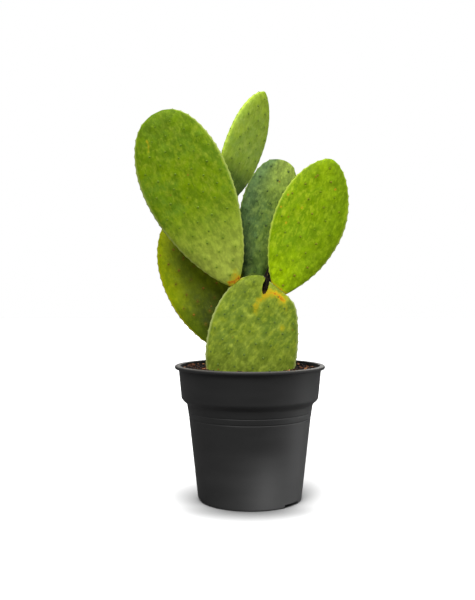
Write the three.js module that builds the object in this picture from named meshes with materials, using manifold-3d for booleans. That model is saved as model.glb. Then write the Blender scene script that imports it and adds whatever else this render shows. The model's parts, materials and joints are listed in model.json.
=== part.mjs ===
// A paddle cactus of six jointed pads, rooted in a plain round nursery pot.
//
// Millimetres, +Z up, +X to the right and -Y towards the viewer. The origin is the centre of
// the pot's underside. Each pad is one flattened stem segment that tapers to a neck, and its
// neck sits on the pad below, cut to that pad's surface. Areoles, the small woolly cushions
// that spines grow from, stand on both faces and along the rim of every pad.

import * as THREE from 'three';
import { mergeGeometries, mergeVertices } from 'three/addons/utils/BufferGeometryUtils.js';
import Module from 'manifold-3d';

const wasm = await Module();
wasm.setup();

// ---------------------------------------------------------------- driving dimensions

const CLEARANCE = 0.3; // left between pieces that touch
const OVERCUT = 1; // how far a cutting shape runs past what it cuts

// The pot, as radii of its outside and the heights they are at.
const RIM_RADIUS = 85;
const POT_HEIGHT = 151;
const BEAD = { height: 3.8, bulge: 1.5, lip: 0.7 };
const COLLAR_TOP_Z = POT_HEIGHT - BEAD.height;
const COLLAR_TOP_RADIUS = 80.6;
const COLLAR_BOTTOM = { radius: 77.3, z: 113.5 };
const SHOULDER = { radius: 71.4, z: 108 };
const WALL_STEP = { radius: 69, z: 93 };
const FOOT_RADIUS = 58.6;
const FOOT_BEVEL = 1;
const POT_WALL = 1.8;
const POT_SIDES = 48;
const GROOVE_HEIGHTS = [92.5, 99.5];
const GROOVE_DEPTH = 0.5;
const GROOVE_HALF_HEIGHT = 0.7;

// The pot's floor lies flat, and steps up to a ledge round its edge. Three drain notches are
// cut under the ledge, each with a slot through it. Angles run anticlockwise from +X.
const FLOOR_THICKNESS = 2.6;
const LEDGE = { innerRadius: 45, radius: 49, z: 6 };
const NOTCH = { innerRadius: 50.5, height: 3.6, spanDegrees: 24 };
const NOTCH_DEGREES = [-39, 81, 193];
const DRAIN_SLOT = { length: 11, width: 3.2, radius: 53.2 };

// The soil fills the pot to just below the rim, a little higher at the back, and is lumpy.
const SOIL_EDGE_Z = 146;
const SOIL_EDGE_DEPTH = 2.5; // how far the soil's flat side reaches below that height
const SOIL_BACK_RISE = 3;
const SOIL_SIDES = 28;
const SOIL_RING_STEP = 14;
const SOIL_UNEVENNESS = 0.9;
const CRUMB_COUNT = 34;
const CRUMB_RADIUS = { min: 2.2, max: 5 };
const CRUMB_FLATNESS = 0.7;
const SEED = 23;

// Areoles stand in staggered rows on the faces, and closer together along the rim.
const AREOLE_ROW = 19;
const AREOLE_COLUMN = 27;
const AREOLE_RIM_STEP = 18;
const AREOLE_MARGIN = 6;
const AREOLE_COLUMNS = 4; // rows reach this many columns to either side at most
const AREOLE_LAST = 0.985; // no areole stands nearer to the tip than this share of the length
const CUSHION = { radius: 2.9, proud: 1.3, sunk: 1.3, sides: 5 };

// A pad's cross-section is a rounded slab: 1 would be an ellipse and 0 a rectangle.
const SECTION_ROUNDNESS = 0.8;
const THICKNESS_TAPER = 0.6; // how fast the thickness follows the width down to nothing
const PAD_SIDES = 16;
const PAD_RING_LENGTH = 11; // mean distance between the rings of a pad's surface
const RING_CROWDING = 0.6; // 0 spaces the rings evenly, 1 crowds them at both ends

// Each pad: where its neck's hidden point is, its size, and how it stands. lean tips it
// towards the viewer, tilt to the right, and turn spins it about its own length, in degrees.
// neckTaper and tipTaper are the powers by which its width grows from the neck and falls to
// the tip. bow moves its middle sideways, curl moves it backwards, slope is the share of its
// length over which the right side falls away to the tip, and bare is the length at its neck,
// hidden or in the soil, that has no areoles.
const PADS = {
  base_pad: {
    neck: [-4, -4, 96], length: 157, width: 103.5, thickness: 22, bare: 52,
    lean: 0, tilt: 7, turn: 0, neckTaper: 0.36, tipTaper: 0.4, bow: -3, curl: 0, slope: 0.2,
  },
  left_pad: {
    neck: [-15.5, -5, 238.5], length: 213, width: 98, thickness: 15, bare: 16,
    lean: 5, tilt: -24.5, turn: 0, neckTaper: 0.76, tipTaper: 0.48, bow: -2.5, curl: -3, slope: 0,
  },
  right_pad: {
    neck: [31, -4, 227.5], length: 166, width: 80, thickness: 14, bare: 16,
    lean: 3, tilt: 21.5, turn: 0, neckTaper: 0.82, tipTaper: 0.65, bow: 2, curl: 3, slope: 0,
  },
  middle_pad: {
    neck: [1, 1, 229], length: 165, width: 57, thickness: 12.5, bare: 26,
    lean: -9, tilt: 13, turn: 0, neckTaper: 0.8, tipTaper: 0.4, bow: -6.5, curl: 2, slope: 0,
  },
  rear_left_pad: {
    neck: [-18.5, 4, 161], length: 191, width: 101, thickness: 15, bare: 16,
    lean: -14, tilt: -19, turn: 0, neckTaper: 0.73, tipTaper: 0.52, bow: -2, curl: 3, slope: 0,
  },
  rear_top_pad: {
    neck: [-43, 45.5, 321], length: 165, width: 74.5, thickness: 12.5, bare: 16,
    lean: -2, tilt: 22, turn: 56, neckTaper: 0.95, tipTaper: 0.71, bow: 4, curl: 0, slope: 0,
  },
};

// Which pad each pad grows from.
const PARENTS = {
  left_pad: 'base_pad',
  right_pad: 'base_pad',
  middle_pad: 'base_pad',
  rear_left_pad: 'base_pad',
  rear_top_pad: 'rear_left_pad',
};

// The base pad's top edge has a healed notch beside the right pad's neck, as a rounded bite.
const SCAR = { x: 17.6, z: 240.5, halfWidth: 3.6, halfHeight: 11.5, tilt: 15 };

// ---------------------------------------------------------------- materials

function plasticMaterial() {
  return new THREE.MeshStandardMaterial({ color: '#2b2c2e', roughness: 0.42, metalness: 0 });
}

function soilMaterial() {
  return new THREE.MeshStandardMaterial({ color: '#4a2d20', roughness: 0.95, metalness: 0 });
}

function skinMaterial(color) {
  return new THREE.MeshStandardMaterial({ color, roughness: 0.55, metalness: 0 });
}

const SKIN_COLORS = {
  base_pad: '#7f9a36',
  left_pad: '#76981f',
  right_pad: '#93b016',
  middle_pad: '#57774a',
  rear_left_pad: '#65800f',
  rear_top_pad: '#84a041',
};

// ---------------------------------------------------------------- solids and meshes

// Makes a closed geometry a solid: only its positions are kept, shared vertices are merged,
// and the empty triangles where a surface closes on its axis are dropped.
function toSolid(geometry) {
  const bare = geometry.clone();
  bare.deleteAttribute('normal');
  bare.deleteAttribute('uv');
  const merged = mergeVertices(bare, 1e-4);
  const corners = merged.index.array;
  const triangles = [];
  for (let i = 0; i < corners.length; i += 3) {
    const [a, b, c] = [corners[i], corners[i + 1], corners[i + 2]];
    if (a !== b && b !== c && c !== a) {
      triangles.push(a, b, c);
    }
  }
  return new wasm.Manifold(new wasm.Mesh({
    numProp: 3,
    vertProperties: Float32Array.from(merged.attributes.position.array),
    triVerts: Uint32Array.from(triangles),
  }));
}

function toGeometry(solid) {
  const mesh = solid.getMesh();
  const geometry = new THREE.BufferGeometry();
  geometry.setAttribute('position', new THREE.Float32BufferAttribute(mesh.vertProperties, 3));
  geometry.setIndex(Array.from(mesh.triVerts));
  geometry.computeVertexNormals();
  return geometry;
}

// A cut can leave crumbs beside the piece itself, so only the largest body is kept.
function largestBody(solid) {
  const bodies = solid.decompose();
  return bodies.reduce((best, body) => (body.volume() > best.volume() ? body : best));
}

function namedMesh(name, solid, material) {
  const mesh = new THREE.Mesh(toGeometry(solid), material);
  mesh.name = name;
  return mesh;
}

// A repeatable source of numbers from 0 to 1.
function randomSource(seed) {
  let state = seed;
  return () => {
    state = (state * 16807) % 2147483647;
    return state / 2147483647;
  };
}

// ---------------------------------------------------------------- pot

// The radius of the pot's outside at a height, along its plain walls.
function potRadius(z) {
  if (z < WALL_STEP.z) {
    return THREE.MathUtils.mapLinear(z, 0, WALL_STEP.z, FOOT_RADIUS, WALL_STEP.radius);
  }
  if (z < SHOULDER.z) {
    return THREE.MathUtils.mapLinear(z, WALL_STEP.z, SHOULDER.z, WALL_STEP.radius, SHOULDER.radius);
  }
  if (z < COLLAR_BOTTOM.z) {
    return THREE.MathUtils.mapLinear(
      z, SHOULDER.z, COLLAR_BOTTOM.z, SHOULDER.radius, COLLAR_BOTTOM.radius);
  }
  return THREE.MathUtils.mapLinear(
    z, COLLAR_BOTTOM.z, COLLAR_TOP_Z, COLLAR_BOTTOM.radius, COLLAR_TOP_RADIUS);
}

// One shallow V groove in the wall, as three points of the profile.
function groovePoints(z) {
  return [-1, 0, 1].map((side) => {
    const height = z + side * GROOVE_HALF_HEIGHT;
    const depth = side === 0 ? GROOVE_DEPTH : 0;
    return new THREE.Vector2(potRadius(height) - depth, height);
  });
}

// The rolled rim: a half-round bulge outside, a flat top, and a broken edge inside.
function beadPoints() {
  const bulge = [-90, -30, 30, 90].map((degrees) => {
    const angle = THREE.MathUtils.degToRad(degrees);
    return new THREE.Vector2(
      RIM_RADIUS - BEAD.bulge * (1 - Math.cos(angle)),
      COLLAR_TOP_Z + (BEAD.height / 2) * (1 + Math.sin(angle)),
    );
  });
  const inner = COLLAR_TOP_RADIUS - POT_WALL;
  return [
    ...bulge,
    new THREE.Vector2(inner + BEAD.lip, POT_HEIGHT),
    new THREE.Vector2(inner, POT_HEIGHT - BEAD.lip),
    new THREE.Vector2(inner, COLLAR_TOP_Z),
  ];
}

// The pot's section, up the outside from its axis and down the inside back to it.
function potProfile() {
  const outside = [
    new THREE.Vector2(0, 0),
    new THREE.Vector2(FOOT_RADIUS - FOOT_BEVEL, 0),
    new THREE.Vector2(potRadius(FOOT_BEVEL), FOOT_BEVEL),
    ...GROOVE_HEIGHTS.flatMap(groovePoints),
    new THREE.Vector2(SHOULDER.radius, SHOULDER.z),
    new THREE.Vector2(COLLAR_BOTTOM.radius, COLLAR_BOTTOM.z),
    new THREE.Vector2(COLLAR_TOP_RADIUS, COLLAR_TOP_Z),
    ...beadPoints(),
  ];
  const inside = [
    new THREE.Vector2(COLLAR_BOTTOM.radius - POT_WALL, COLLAR_BOTTOM.z + POT_WALL / 2),
    new THREE.Vector2(SHOULDER.radius - POT_WALL, SHOULDER.z + POT_WALL / 2),
    new THREE.Vector2(WALL_STEP.radius - POT_WALL - GROOVE_DEPTH, WALL_STEP.z),
    new THREE.Vector2(potRadius(LEDGE.z) - POT_WALL, LEDGE.z),
    new THREE.Vector2(LEDGE.radius, LEDGE.z),
    new THREE.Vector2(LEDGE.innerRadius, FLOOR_THICKNESS),
    new THREE.Vector2(0, FLOOR_THICKNESS),
  ];
  return { outside, inside };
}

function revolve(profile, sides) {
  return new THREE.LatheGeometry(profile, sides).rotateX(Math.PI / 2);
}

// A notch's empty space: a sector of a ring, a little wider than the foot.
function notchSpace(degrees) {
  const middle = THREE.MathUtils.degToRad(degrees);
  const half = THREE.MathUtils.degToRad(NOTCH.spanDegrees / 2);
  const sector = new THREE.Shape();
  sector.absarc(0, 0, potRadius(NOTCH.height) + OVERCUT, middle - half, middle + half, false);
  sector.absarc(0, 0, NOTCH.innerRadius, middle + half, middle - half, true);
  const space = new THREE.ExtrudeGeometry(sector, {
    depth: NOTCH.height + OVERCUT,
    bevelEnabled: false,
    curveSegments: 3,
  });
  return space.translate(0, 0, -OVERCUT);
}

// A drain slot's empty space: a box through the ledge above its notch.
function slotSpace(degrees) {
  const height = LEDGE.z - NOTCH.height + 2 * OVERCUT;
  const slot = new THREE.BoxGeometry(DRAIN_SLOT.width, DRAIN_SLOT.length, height);
  slot.translate(DRAIN_SLOT.radius, 0, (LEDGE.z + NOTCH.height) / 2);
  return slot.rotateZ(THREE.MathUtils.degToRad(degrees));
}

function makePot() {
  const { outside, inside } = potProfile();
  let pot = toSolid(revolve([...outside, ...inside], POT_SIDES));
  for (const degrees of NOTCH_DEGREES) {
    pot = pot.subtract(toSolid(notchSpace(degrees)));
    pot = pot.subtract(toSolid(slotSpace(degrees)));
  }
  return namedMesh('pot', pot, plasticMaterial());
}

// ---------------------------------------------------------------- soil

// The height of the soil's surface, as two crossing waves on a slight slope.
function soilSurface(x, y) {
  const backwards = (SOIL_BACK_RISE * y) / (2 * potRadius(SOIL_EDGE_Z));
  const waves = Math.sin(x * 0.21 + 1.3) * Math.cos(y * 0.17) + Math.sin((x - y) * 0.11);
  return SOIL_EDGE_Z + backwards + SOIL_UNEVENNESS * waves;
}

// The soil's outside follows the inside of the pot, and its top is a fan of rings.
function soilBulk() {
  const { inside } = potProfile();
  const wall = inside.slice().reverse().map(
    (point) => new THREE.Vector2(Math.max(point.x - CLEARANCE, 0), point.y + CLEARANCE));
  const edge = potRadius(SOIL_EDGE_Z) - POT_WALL - 2 * CLEARANCE;
  const top = [new THREE.Vector2(edge, SOIL_EDGE_Z - SOIL_EDGE_DEPTH)];
  for (let radius = edge - 2; radius > SOIL_RING_STEP / 2; radius -= SOIL_RING_STEP) {
    top.push(new THREE.Vector2(radius, SOIL_EDGE_Z));
  }
  top.push(new THREE.Vector2(0, SOIL_EDGE_Z));
  const bulk = revolve([...wall, ...top], SOIL_SIDES);
  const places = bulk.attributes.position;
  for (let i = 0; i < places.count; i += 1) {
    if (places.getZ(i) > SOIL_EDGE_Z - SOIL_EDGE_DEPTH / 2) {
      places.setZ(i, soilSurface(places.getX(i), places.getY(i)));
    }
  }
  return toSolid(bulk);
}

// Coarse crumbs of bark and grit, half sunk in the surface.
function addCrumbs(soil) {
  const random = randomSource(SEED);
  const reach = potRadius(SOIL_EDGE_Z) - POT_WALL - 2 * CRUMB_RADIUS.max;
  let heaped = soil;
  for (let i = 0; i < CRUMB_COUNT; i += 1) {
    const angle = random() * Math.PI * 2;
    const away = reach * Math.sqrt(random());
    const size = THREE.MathUtils.lerp(CRUMB_RADIUS.min, CRUMB_RADIUS.max, random() ** 2);
    const crumb = new THREE.OctahedronGeometry(size);
    crumb.rotateX(random() * Math.PI).rotateZ(random() * Math.PI).scale(1, 1, CRUMB_FLATNESS);
    const [x, y] = [away * Math.cos(angle), away * Math.sin(angle)];
    crumb.translate(x, y, soilSurface(x, y));
    heaped = heaped.add(toSolid(crumb));
  }
  return heaped;
}

// ---------------------------------------------------------------- pads

// The half-width at t, from 0 at the neck to 1 at the tip.
function halfWidth(pad, t) {
  const widest = pad.neckTaper / (pad.neckTaper + pad.tipTaper);
  const rise = (t / widest) ** pad.neckTaper;
  const fall = ((1 - t) / (1 - widest)) ** pad.tipTaper;
  return (pad.width / 2) * rise * fall;
}

// The pad's left and right edges at t, measured from its axis.
function edgesAt(pad, t) {
  const half = halfWidth(pad, t);
  const along = pad.slope > 0 ? Math.max(0, (t - 1 + pad.slope) / pad.slope) : 0;
  const middle = pad.bow * Math.sin(Math.PI * t);
  return { left: middle - half, right: middle + half * (1 - along * along) };
}

function roundedPower(value) {
  return Math.sign(value) * Math.abs(value) ** SECTION_ROUNDNESS;
}

// Undoes roundedPower.
function roundedShare(value) {
  return Math.sign(value) * Math.abs(value) ** (1 / SECTION_ROUNDNESS);
}

// The point of a pad's surface at t along it and at an angle round its section.
function surfacePoint(pad, t, angle) {
  const { left, right } = edgesAt(pad, t);
  const depth = (pad.thickness / 2) * (halfWidth(pad, t) / (pad.width / 2)) ** THICKNESS_TAPER;
  const backwards = pad.curl * Math.sin(Math.PI * t);
  return new THREE.Vector3(
    (left + right) / 2 + ((right - left) / 2) * roundedPower(Math.cos(angle)),
    backwards + depth * roundedPower(Math.sin(angle)),
    t * pad.length,
  );
}

// The outward direction there, square to two short steps along the surface.
function surfaceNormal(pad, t, angle) {
  const step = 0.01;
  const here = surfacePoint(pad, t, angle);
  const upwards = surfacePoint(pad, t + step, angle).sub(here);
  const around = surfacePoint(pad, t, angle + step).sub(here);
  return around.cross(upwards).normalize();
}

// A pad's bare body: a sphere's rings drawn out to the pad's outline and thickness.
function padBody(pad) {
  const rings = Math.round(pad.length / PAD_RING_LENGTH);
  const body = new THREE.SphereGeometry(1, PAD_SIDES, rings);
  const places = body.attributes.position;
  for (let i = 0; i < places.count; i += 1) {
    const polar = Math.acos(THREE.MathUtils.clamp(-places.getY(i), -1, 1));
    const t = (polar - (RING_CROWDING * Math.sin(2 * polar)) / 2) / Math.PI;
    const angle = Math.atan2(-places.getZ(i), places.getX(i));
    const point = surfacePoint(pad, THREE.MathUtils.clamp(t, 0, 1), angle);
    places.setXYZ(i, point.x, point.y, point.z);
  }
  return body;
}

// Moves every vertex outwards, for the space that a body needs in its neighbours.
function swell(geometry, distance) {
  const bare = geometry.clone();
  bare.deleteAttribute('normal');
  bare.deleteAttribute('uv');
  const swollen = mergeVertices(bare, 1e-4);
  swollen.computeVertexNormals();
  const places = swollen.attributes.position;
  const normals = swollen.attributes.normal;
  for (let i = 0; i < places.count; i += 1) {
    places.setXYZ(
      i,
      places.getX(i) + normals.getX(i) * distance,
      places.getY(i) + normals.getY(i) * distance,
      places.getZ(i) + normals.getZ(i) * distance,
    );
  }
  return swollen;
}

// The areoles of both faces, in staggered rows that stop short of the rim.
function faceAreoles(pad) {
  const areoles = [];
  let row = 0;
  for (let z = pad.bare; z < pad.length - AREOLE_MARGIN; z += AREOLE_ROW) {
    const t = z / pad.length;
    const { left, right } = edgesAt(pad, t);
    const middle = (left + right) / 2;
    const half = (right - left) / 2;
    const shift = (row % 2) / 2;
    row += 1;
    for (let column = -AREOLE_COLUMNS; column <= AREOLE_COLUMNS; column += 1) {
      const across = (column + shift) * AREOLE_COLUMN;
      if (Math.abs(across - middle) < half - AREOLE_MARGIN) {
        const angle = Math.acos(roundedShare((across - middle) / half));
        areoles.push({ t, angle }, { t, angle: -angle });
      }
    }
  }
  return areoles;
}

// The areoles along one side of the rim, spaced evenly along its length.
function rimAreoles(pad, angle) {
  const areoles = [];
  const steps = 400;
  let walked = 0;
  let last = surfacePoint(pad, pad.bare / pad.length, angle);
  for (let i = 1; i < steps; i += 1) {
    const t = THREE.MathUtils.mapLinear(i, 0, steps, pad.bare / pad.length, AREOLE_LAST);
    const point = surfacePoint(pad, t, angle);
    walked += point.distanceTo(last);
    last = point;
    if (walked > AREOLE_RIM_STEP) {
      walked -= AREOLE_RIM_STEP;
      areoles.push({ t, angle });
    }
  }
  return areoles;
}

// Every areole of a pad as a low pointed cushion, larger by the given margin.
function areoleCushions(pad, margin) {
  const up = new THREE.Vector3(0, 1, 0);
  const areoles = [...faceAreoles(pad), ...rimAreoles(pad, 0), ...rimAreoles(pad, Math.PI)];
  const cushions = areoles.map(({ t, angle }) => {
    const proud = CUSHION.proud + 2 * margin;
    const radius = CUSHION.radius + 2 * margin;
    const cushion = new THREE.ConeGeometry(radius, proud + CUSHION.sunk, CUSHION.sides);
    cushion.translate(0, (proud - CUSHION.sunk) / 2, 0);
    cushion.applyQuaternion(
      new THREE.Quaternion().setFromUnitVectors(up, surfaceNormal(pad, t, angle)));
    const place = surfacePoint(pad, t, angle);
    return cushion.translate(place.x, place.y, place.z);
  });
  return mergeGeometries(cushions);
}

// A pad's frame: its neck's hidden point, then its tilt, its lean and its turn.
function padFrame(pad) {
  const turns = new THREE.Euler(
    THREE.MathUtils.degToRad(pad.lean),
    THREE.MathUtils.degToRad(pad.tilt),
    THREE.MathUtils.degToRad(pad.turn),
    'YXZ',
  );
  return new THREE.Matrix4().compose(
    new THREE.Vector3(...pad.neck),
    new THREE.Quaternion().setFromEuler(turns),
    new THREE.Vector3(1, 1, 1),
  );
}

// The solid of a pad with its areoles, in the plant's frame, larger by the given margin.
function padSolid(pad, margin) {
  const frame = padFrame(pad);
  const body = toSolid(swell(padBody(pad), margin).applyMatrix4(frame));
  const cushions = toSolid(areoleCushions(pad, margin).applyMatrix4(frame));
  return body.add(cushions);
}

// The healed notch, as a stretched ball that reaches in from above the edge.
function scarSpace() {
  const ball = new THREE.SphereGeometry(1, 12, 8);
  ball.scale(SCAR.halfWidth, PADS.base_pad.thickness, SCAR.halfHeight);
  ball.rotateY(THREE.MathUtils.degToRad(SCAR.tilt));
  return toSolid(ball.translate(SCAR.x, PADS.base_pad.neck[1], SCAR.z));
}

function makePad(name) {
  let solid = padSolid(PADS[name], 0);
  if (name in PARENTS) {
    solid = solid.subtract(padSolid(PADS[PARENTS[name]], CLEARANCE));
  } else {
    solid = solid.subtract(scarSpace());
  }
  return namedMesh(name, largestBody(solid), skinMaterial(SKIN_COLORS[name]));
}

// The soil, with a plain hole that the base pad stands in.
function makeSoil() {
  const hole = padSolid(PADS.base_pad, CLEARANCE);
  return namedMesh('soil', largestBody(addCrumbs(soilBulk()).subtract(hole)), soilMaterial());
}

// ---------------------------------------------------------------- the whole plant

const group = new THREE.Group();
group.add(makePot());
group.add(makeSoil());
for (const name of Object.keys(PADS)) {
  group.add(makePad(name));
}

export default group;
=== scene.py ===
"""Looks of a potted paddle cactus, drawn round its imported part.

The frame is the part's own: metres, +Z up, +X to the right and -Y towards the viewer, with the
origin at the centre of the pot's underside. The dataclasses hold their sizes in millimetres
and their angles in degrees, as the part's drawing does, and the meshes are made in metres.
"""

import json
import logging
import math
from collections.abc import Callable
from dataclasses import dataclass, field
from enum import Enum
from functools import partial
from typing import Any

import bmesh
import bpy
import numpy as np
from mathutils import Euler, Matrix, Vector, noise
from mathutils.bvhtree import BVHTree
from mathutils.kdtree import KDTree

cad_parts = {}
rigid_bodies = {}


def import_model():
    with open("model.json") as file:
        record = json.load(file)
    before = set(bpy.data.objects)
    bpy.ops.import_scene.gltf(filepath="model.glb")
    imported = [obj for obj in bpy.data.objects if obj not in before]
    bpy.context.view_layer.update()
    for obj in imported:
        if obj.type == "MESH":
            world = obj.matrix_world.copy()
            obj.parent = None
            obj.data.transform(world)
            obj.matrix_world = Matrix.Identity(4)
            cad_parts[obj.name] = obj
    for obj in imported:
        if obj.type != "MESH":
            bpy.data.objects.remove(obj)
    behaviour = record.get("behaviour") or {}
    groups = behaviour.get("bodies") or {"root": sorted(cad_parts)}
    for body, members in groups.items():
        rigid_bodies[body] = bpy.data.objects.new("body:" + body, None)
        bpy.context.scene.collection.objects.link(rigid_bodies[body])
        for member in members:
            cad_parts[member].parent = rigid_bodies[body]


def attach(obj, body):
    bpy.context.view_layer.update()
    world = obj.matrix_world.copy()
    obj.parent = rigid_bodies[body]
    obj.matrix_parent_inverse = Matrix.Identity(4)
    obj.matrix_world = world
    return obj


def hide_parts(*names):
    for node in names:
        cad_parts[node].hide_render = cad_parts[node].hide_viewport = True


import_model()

LOG = logging.getLogger("potted_cactus")
MM = 0.001
BODY = "root"
CLEARANCE = 0.3  # mm left between pieces that touch
FAR = 1e3  # mm, stands for no neighbour within reach
LUMINANCE = (0.2126, 0.7152, 0.0722)  # how much red, green and blue add to lightness

Pair = tuple[float, float]
Triple = tuple[float, float, float]
Stops = tuple[tuple[float, str], ...]
Array = np.ndarray
Piece = bpy.types.Object
Material = bpy.types.Material
Socket = bpy.types.NodeSocket
Put = Callable[..., Any]  # add_node, bound to a tree


class Face(Enum):
    """A flat side of a pad, by the sign of its angle round the section."""

    FRONT = -1
    BACK = 1


class Edge(Enum):
    """A narrow side of a pad, by its angle round the section."""

    RIGHT = 0.0
    LEFT = math.pi


# ---- nodes


def linear(code: str) -> tuple[float, float, float, float]:
    """Turns a colour's sRGB hex code into linear light.

    Args:
        code: The colour as "#rrggbb".

    Returns:
        Its red, green, blue and an alpha of one.
    """
    channels = [int(code[i : i + 2], 16) / 255 for i in (1, 3, 5)]
    lit = [c / 12.92 if c <= 0.04045 else ((c + 0.055) / 1.055) ** 2.4 for c in channels]
    return (lit[0], lit[1], lit[2], 1.0)


def add_node(
    tree: bpy.types.NodeTree,
    kind: str,
    feeds: dict[Any, Any] | tuple[Any, ...] = (),
    out: int | str = 0,
    stops: Stops = (),
    **settings: Any,
) -> Any:
    """Adds a node with its settings, its values and its links.

    Args:
        tree: The tree it goes into.
        kind: The node's Blender type, which for a shader node may leave out ShaderNode.
        feeds: A value or the output that feeds it, or a list of outputs, for each input by
            name or number, or for the first inputs in their order.
        out: The output that is wanted.
        stops: For a colour ramp, its places and colours as sRGB hex codes.
        **settings: The node's own properties.

    Returns:
        The wanted output, or None where the node ends its tree.
    """
    node = tree.nodes.new(kind if "Node" in kind else "ShaderNode" + kind)
    for name, value in settings.items():
        setattr(node, name, value)
    for key, value in feeds.items() if isinstance(feeds, dict) else enumerate(feeds):
        for source in value if isinstance(value, list) else [value]:
            if isinstance(source, Socket):
                tree.links.new(source, node.inputs[key])
            else:
                node.inputs[key].default_value = source
    if stops:
        elements = node.color_ramp.elements
        while len(elements) < len(stops):
            elements.new(1.0)
        for element, (place, code) in zip(elements, stops):
            element.position, element.color = place, linear(code)
    return node.outputs[out] if len(node.outputs) else None


def new_material(name: str) -> tuple[Material, Put]:
    """Makes a material with no nodes, and the call that adds a node to it.

    Args:
        name: The material's name.

    Returns:
        The material and the call.
    """
    material = bpy.data.materials.new(name)
    material.use_nodes = True
    material.node_tree.nodes.clear()
    return material, partial(add_node, material.node_tree)


def close(
    material: Material,
    look: dict[str, Any],
    relief: tuple[Socket, float, float] | None = None,
    kind: str = "BsdfPrincipled",
) -> Material:
    """Ends a material with its relief, its shader and its output.

    Args:
        material: The material.
        look: The shader's inputs.
        relief: The height behind its bumps, their strength and their depth in mm.
        kind: The shader's type.

    Returns:
        The material.
    """
    put = partial(add_node, material.node_tree)
    if relief:
        height, strength, depth = relief
        bump = put("Bump", {"Height": height, "Strength": strength, "Distance": depth * MM})
        look = {**look, "Normal": bump}
    put("OutputMaterial", {"Surface": put(kind, look)})
    return material


def grow(
    target: Piece, name: str, values: dict[str, Any], draw: Callable[[Put, Any], Socket]
) -> None:
    """Runs a geometry tree on an object, and keeps the result as its plain mesh.

    Args:
        target: The object whose mesh feeds the tree.
        name: The tree's name.
        values: The tree's inputs by name, with the material that it sets under Finish.
        draw: Adds the tree's own nodes, given the call that adds a node and the outputs of
            the tree's inputs, and returns the geometry that gets the material.
    """
    kinds = {int: "Int", float: "Float", Material: "Material"}
    tree = bpy.data.node_groups.new(name, "GeometryNodeTree")
    socket = tree.interface.new_socket
    socket("Geometry", in_out="INPUT", socket_type="NodeSocketGeometry")
    identifiers = {
        key: socket(key, in_out="INPUT", socket_type="NodeSocket" + kinds[type(value)]).identifier
        for key, value in values.items()
    }
    socket("Geometry", in_out="OUTPUT", socket_type="NodeSocketGeometry")
    put = partial(add_node, tree)
    given = put("NodeGroupInput").node.outputs
    drawn = draw(put, given)
    finished = put("GeometryNodeSetMaterial", {"Geometry": drawn, "Material": given["Finish"]})
    put("NodeGroupOutput", (finished,))
    modifier = target.modifiers.new(name, "NODES")
    modifier.node_group = tree
    for key, value in values.items():
        modifier[identifiers[key]] = value
    settle(target)


# ---- meshes


def place_object(name: str, data: bpy.types.ID) -> Piece:
    """Makes an object at the origin from its data, and links it to the scene.

    Args:
        name: The object's name.
        data: Its mesh, light or camera.

    Returns:
        The object.
    """
    made = bpy.data.objects.new(name, data)
    bpy.context.scene.collection.objects.link(made)
    return made


def mesh_object(
    name: str, points: Array, faces: list[tuple[int, ...]], smooth: bool = True
) -> Piece:
    """Makes an object at the origin from points in metres.

    Args:
        name: The piece's name.
        points: Its points, one a row.
        faces: The point numbers of each face.
        smooth: Whether its shading is smooth.

    Returns:
        The object, with its faces turned outwards.
    """
    mesh = bpy.data.meshes.new(name)
    mesh.from_pydata(points.tolist(), [], faces)
    turn_outwards(mesh)
    mesh.polygons.foreach_set("use_smooth", [smooth] * len(mesh.polygons))
    return place_object(name, mesh)


def turn_outwards(mesh: bpy.types.Mesh) -> None:
    """Turns every face of a closed mesh outwards.

    Args:
        mesh: The mesh.
    """
    work = bmesh.new()
    work.from_mesh(mesh)
    bmesh.ops.recalc_face_normals(work, faces=work.faces)
    work.to_mesh(mesh)
    work.free()


def store(mesh: bpy.types.Mesh, name: str, values: Array) -> None:
    """Stores one number, or one row of three, for each point of a mesh."""
    kind, key = ("FLOAT", "value") if values.ndim == 1 else ("FLOAT_VECTOR", "vector")
    mesh.attributes.new(name, kind, "POINT").data.foreach_set(key, values.ravel())


def settle(target: Piece) -> None:
    """Replaces an object's mesh by what its modifiers make of it, and removes them.

    Args:
        target: The object.
    """
    graph = bpy.context.evaluated_depsgraph_get()
    mesh = bpy.data.meshes.new_from_object(
        target.evaluated_get(graph), preserve_all_data_layers=True, depsgraph=graph
    )
    target.modifiers.clear()
    target.data = mesh


def carve(target: Piece, tool: Piece, operation: str = "DIFFERENCE") -> None:
    """Takes a tool's space out of an object, or joins it on, and removes the tool.

    Args:
        target: The object.
        tool: The closed tool.
        operation: DIFFERENCE takes its space out, and UNION joins it on.
    """
    cut = target.modifiers.new("cut", "BOOLEAN")
    cut.object, cut.operation, cut.solver = tool, operation, "EXACT"
    cut.use_self = operation == "UNION"
    settle(target)
    bpy.data.objects.remove(tool)


def ripple(points: Array, wavelength: float, seed: float = 0.0, octaves: int = 2) -> Array:
    """Smooth random heights at points, about -1 to 1.

    Args:
        points: The points in metres, one a row.
        wavelength: The size of the largest swells in mm.
        seed: Moves the pattern to another place.
        octaves: How many finer layers are added.

    Returns:
        One height a point.
    """
    scaled = points / (wavelength * MM) + seed
    heights = np.zeros(len(points))
    for octave in range(octaves):
        finer = 2.0**octave
        heights += np.array([noise.noise(Vector(place * finer)) for place in scaled]) / finer
    return heights


def ease(values: Array, start: float, end: float) -> Array:
    """Rises smoothly from 0 at start to 1 at end."""
    share = np.clip((values - start) / (end - start), 0.0, 1.0)
    return share * share * (3.0 - 2.0 * share)


def bell(away: Array, reach: float) -> Array:
    """Falls smoothly from 1 at no distance, past a reach in the same unit, to 0."""
    return np.exp(-((away / reach) ** 2))


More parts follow.
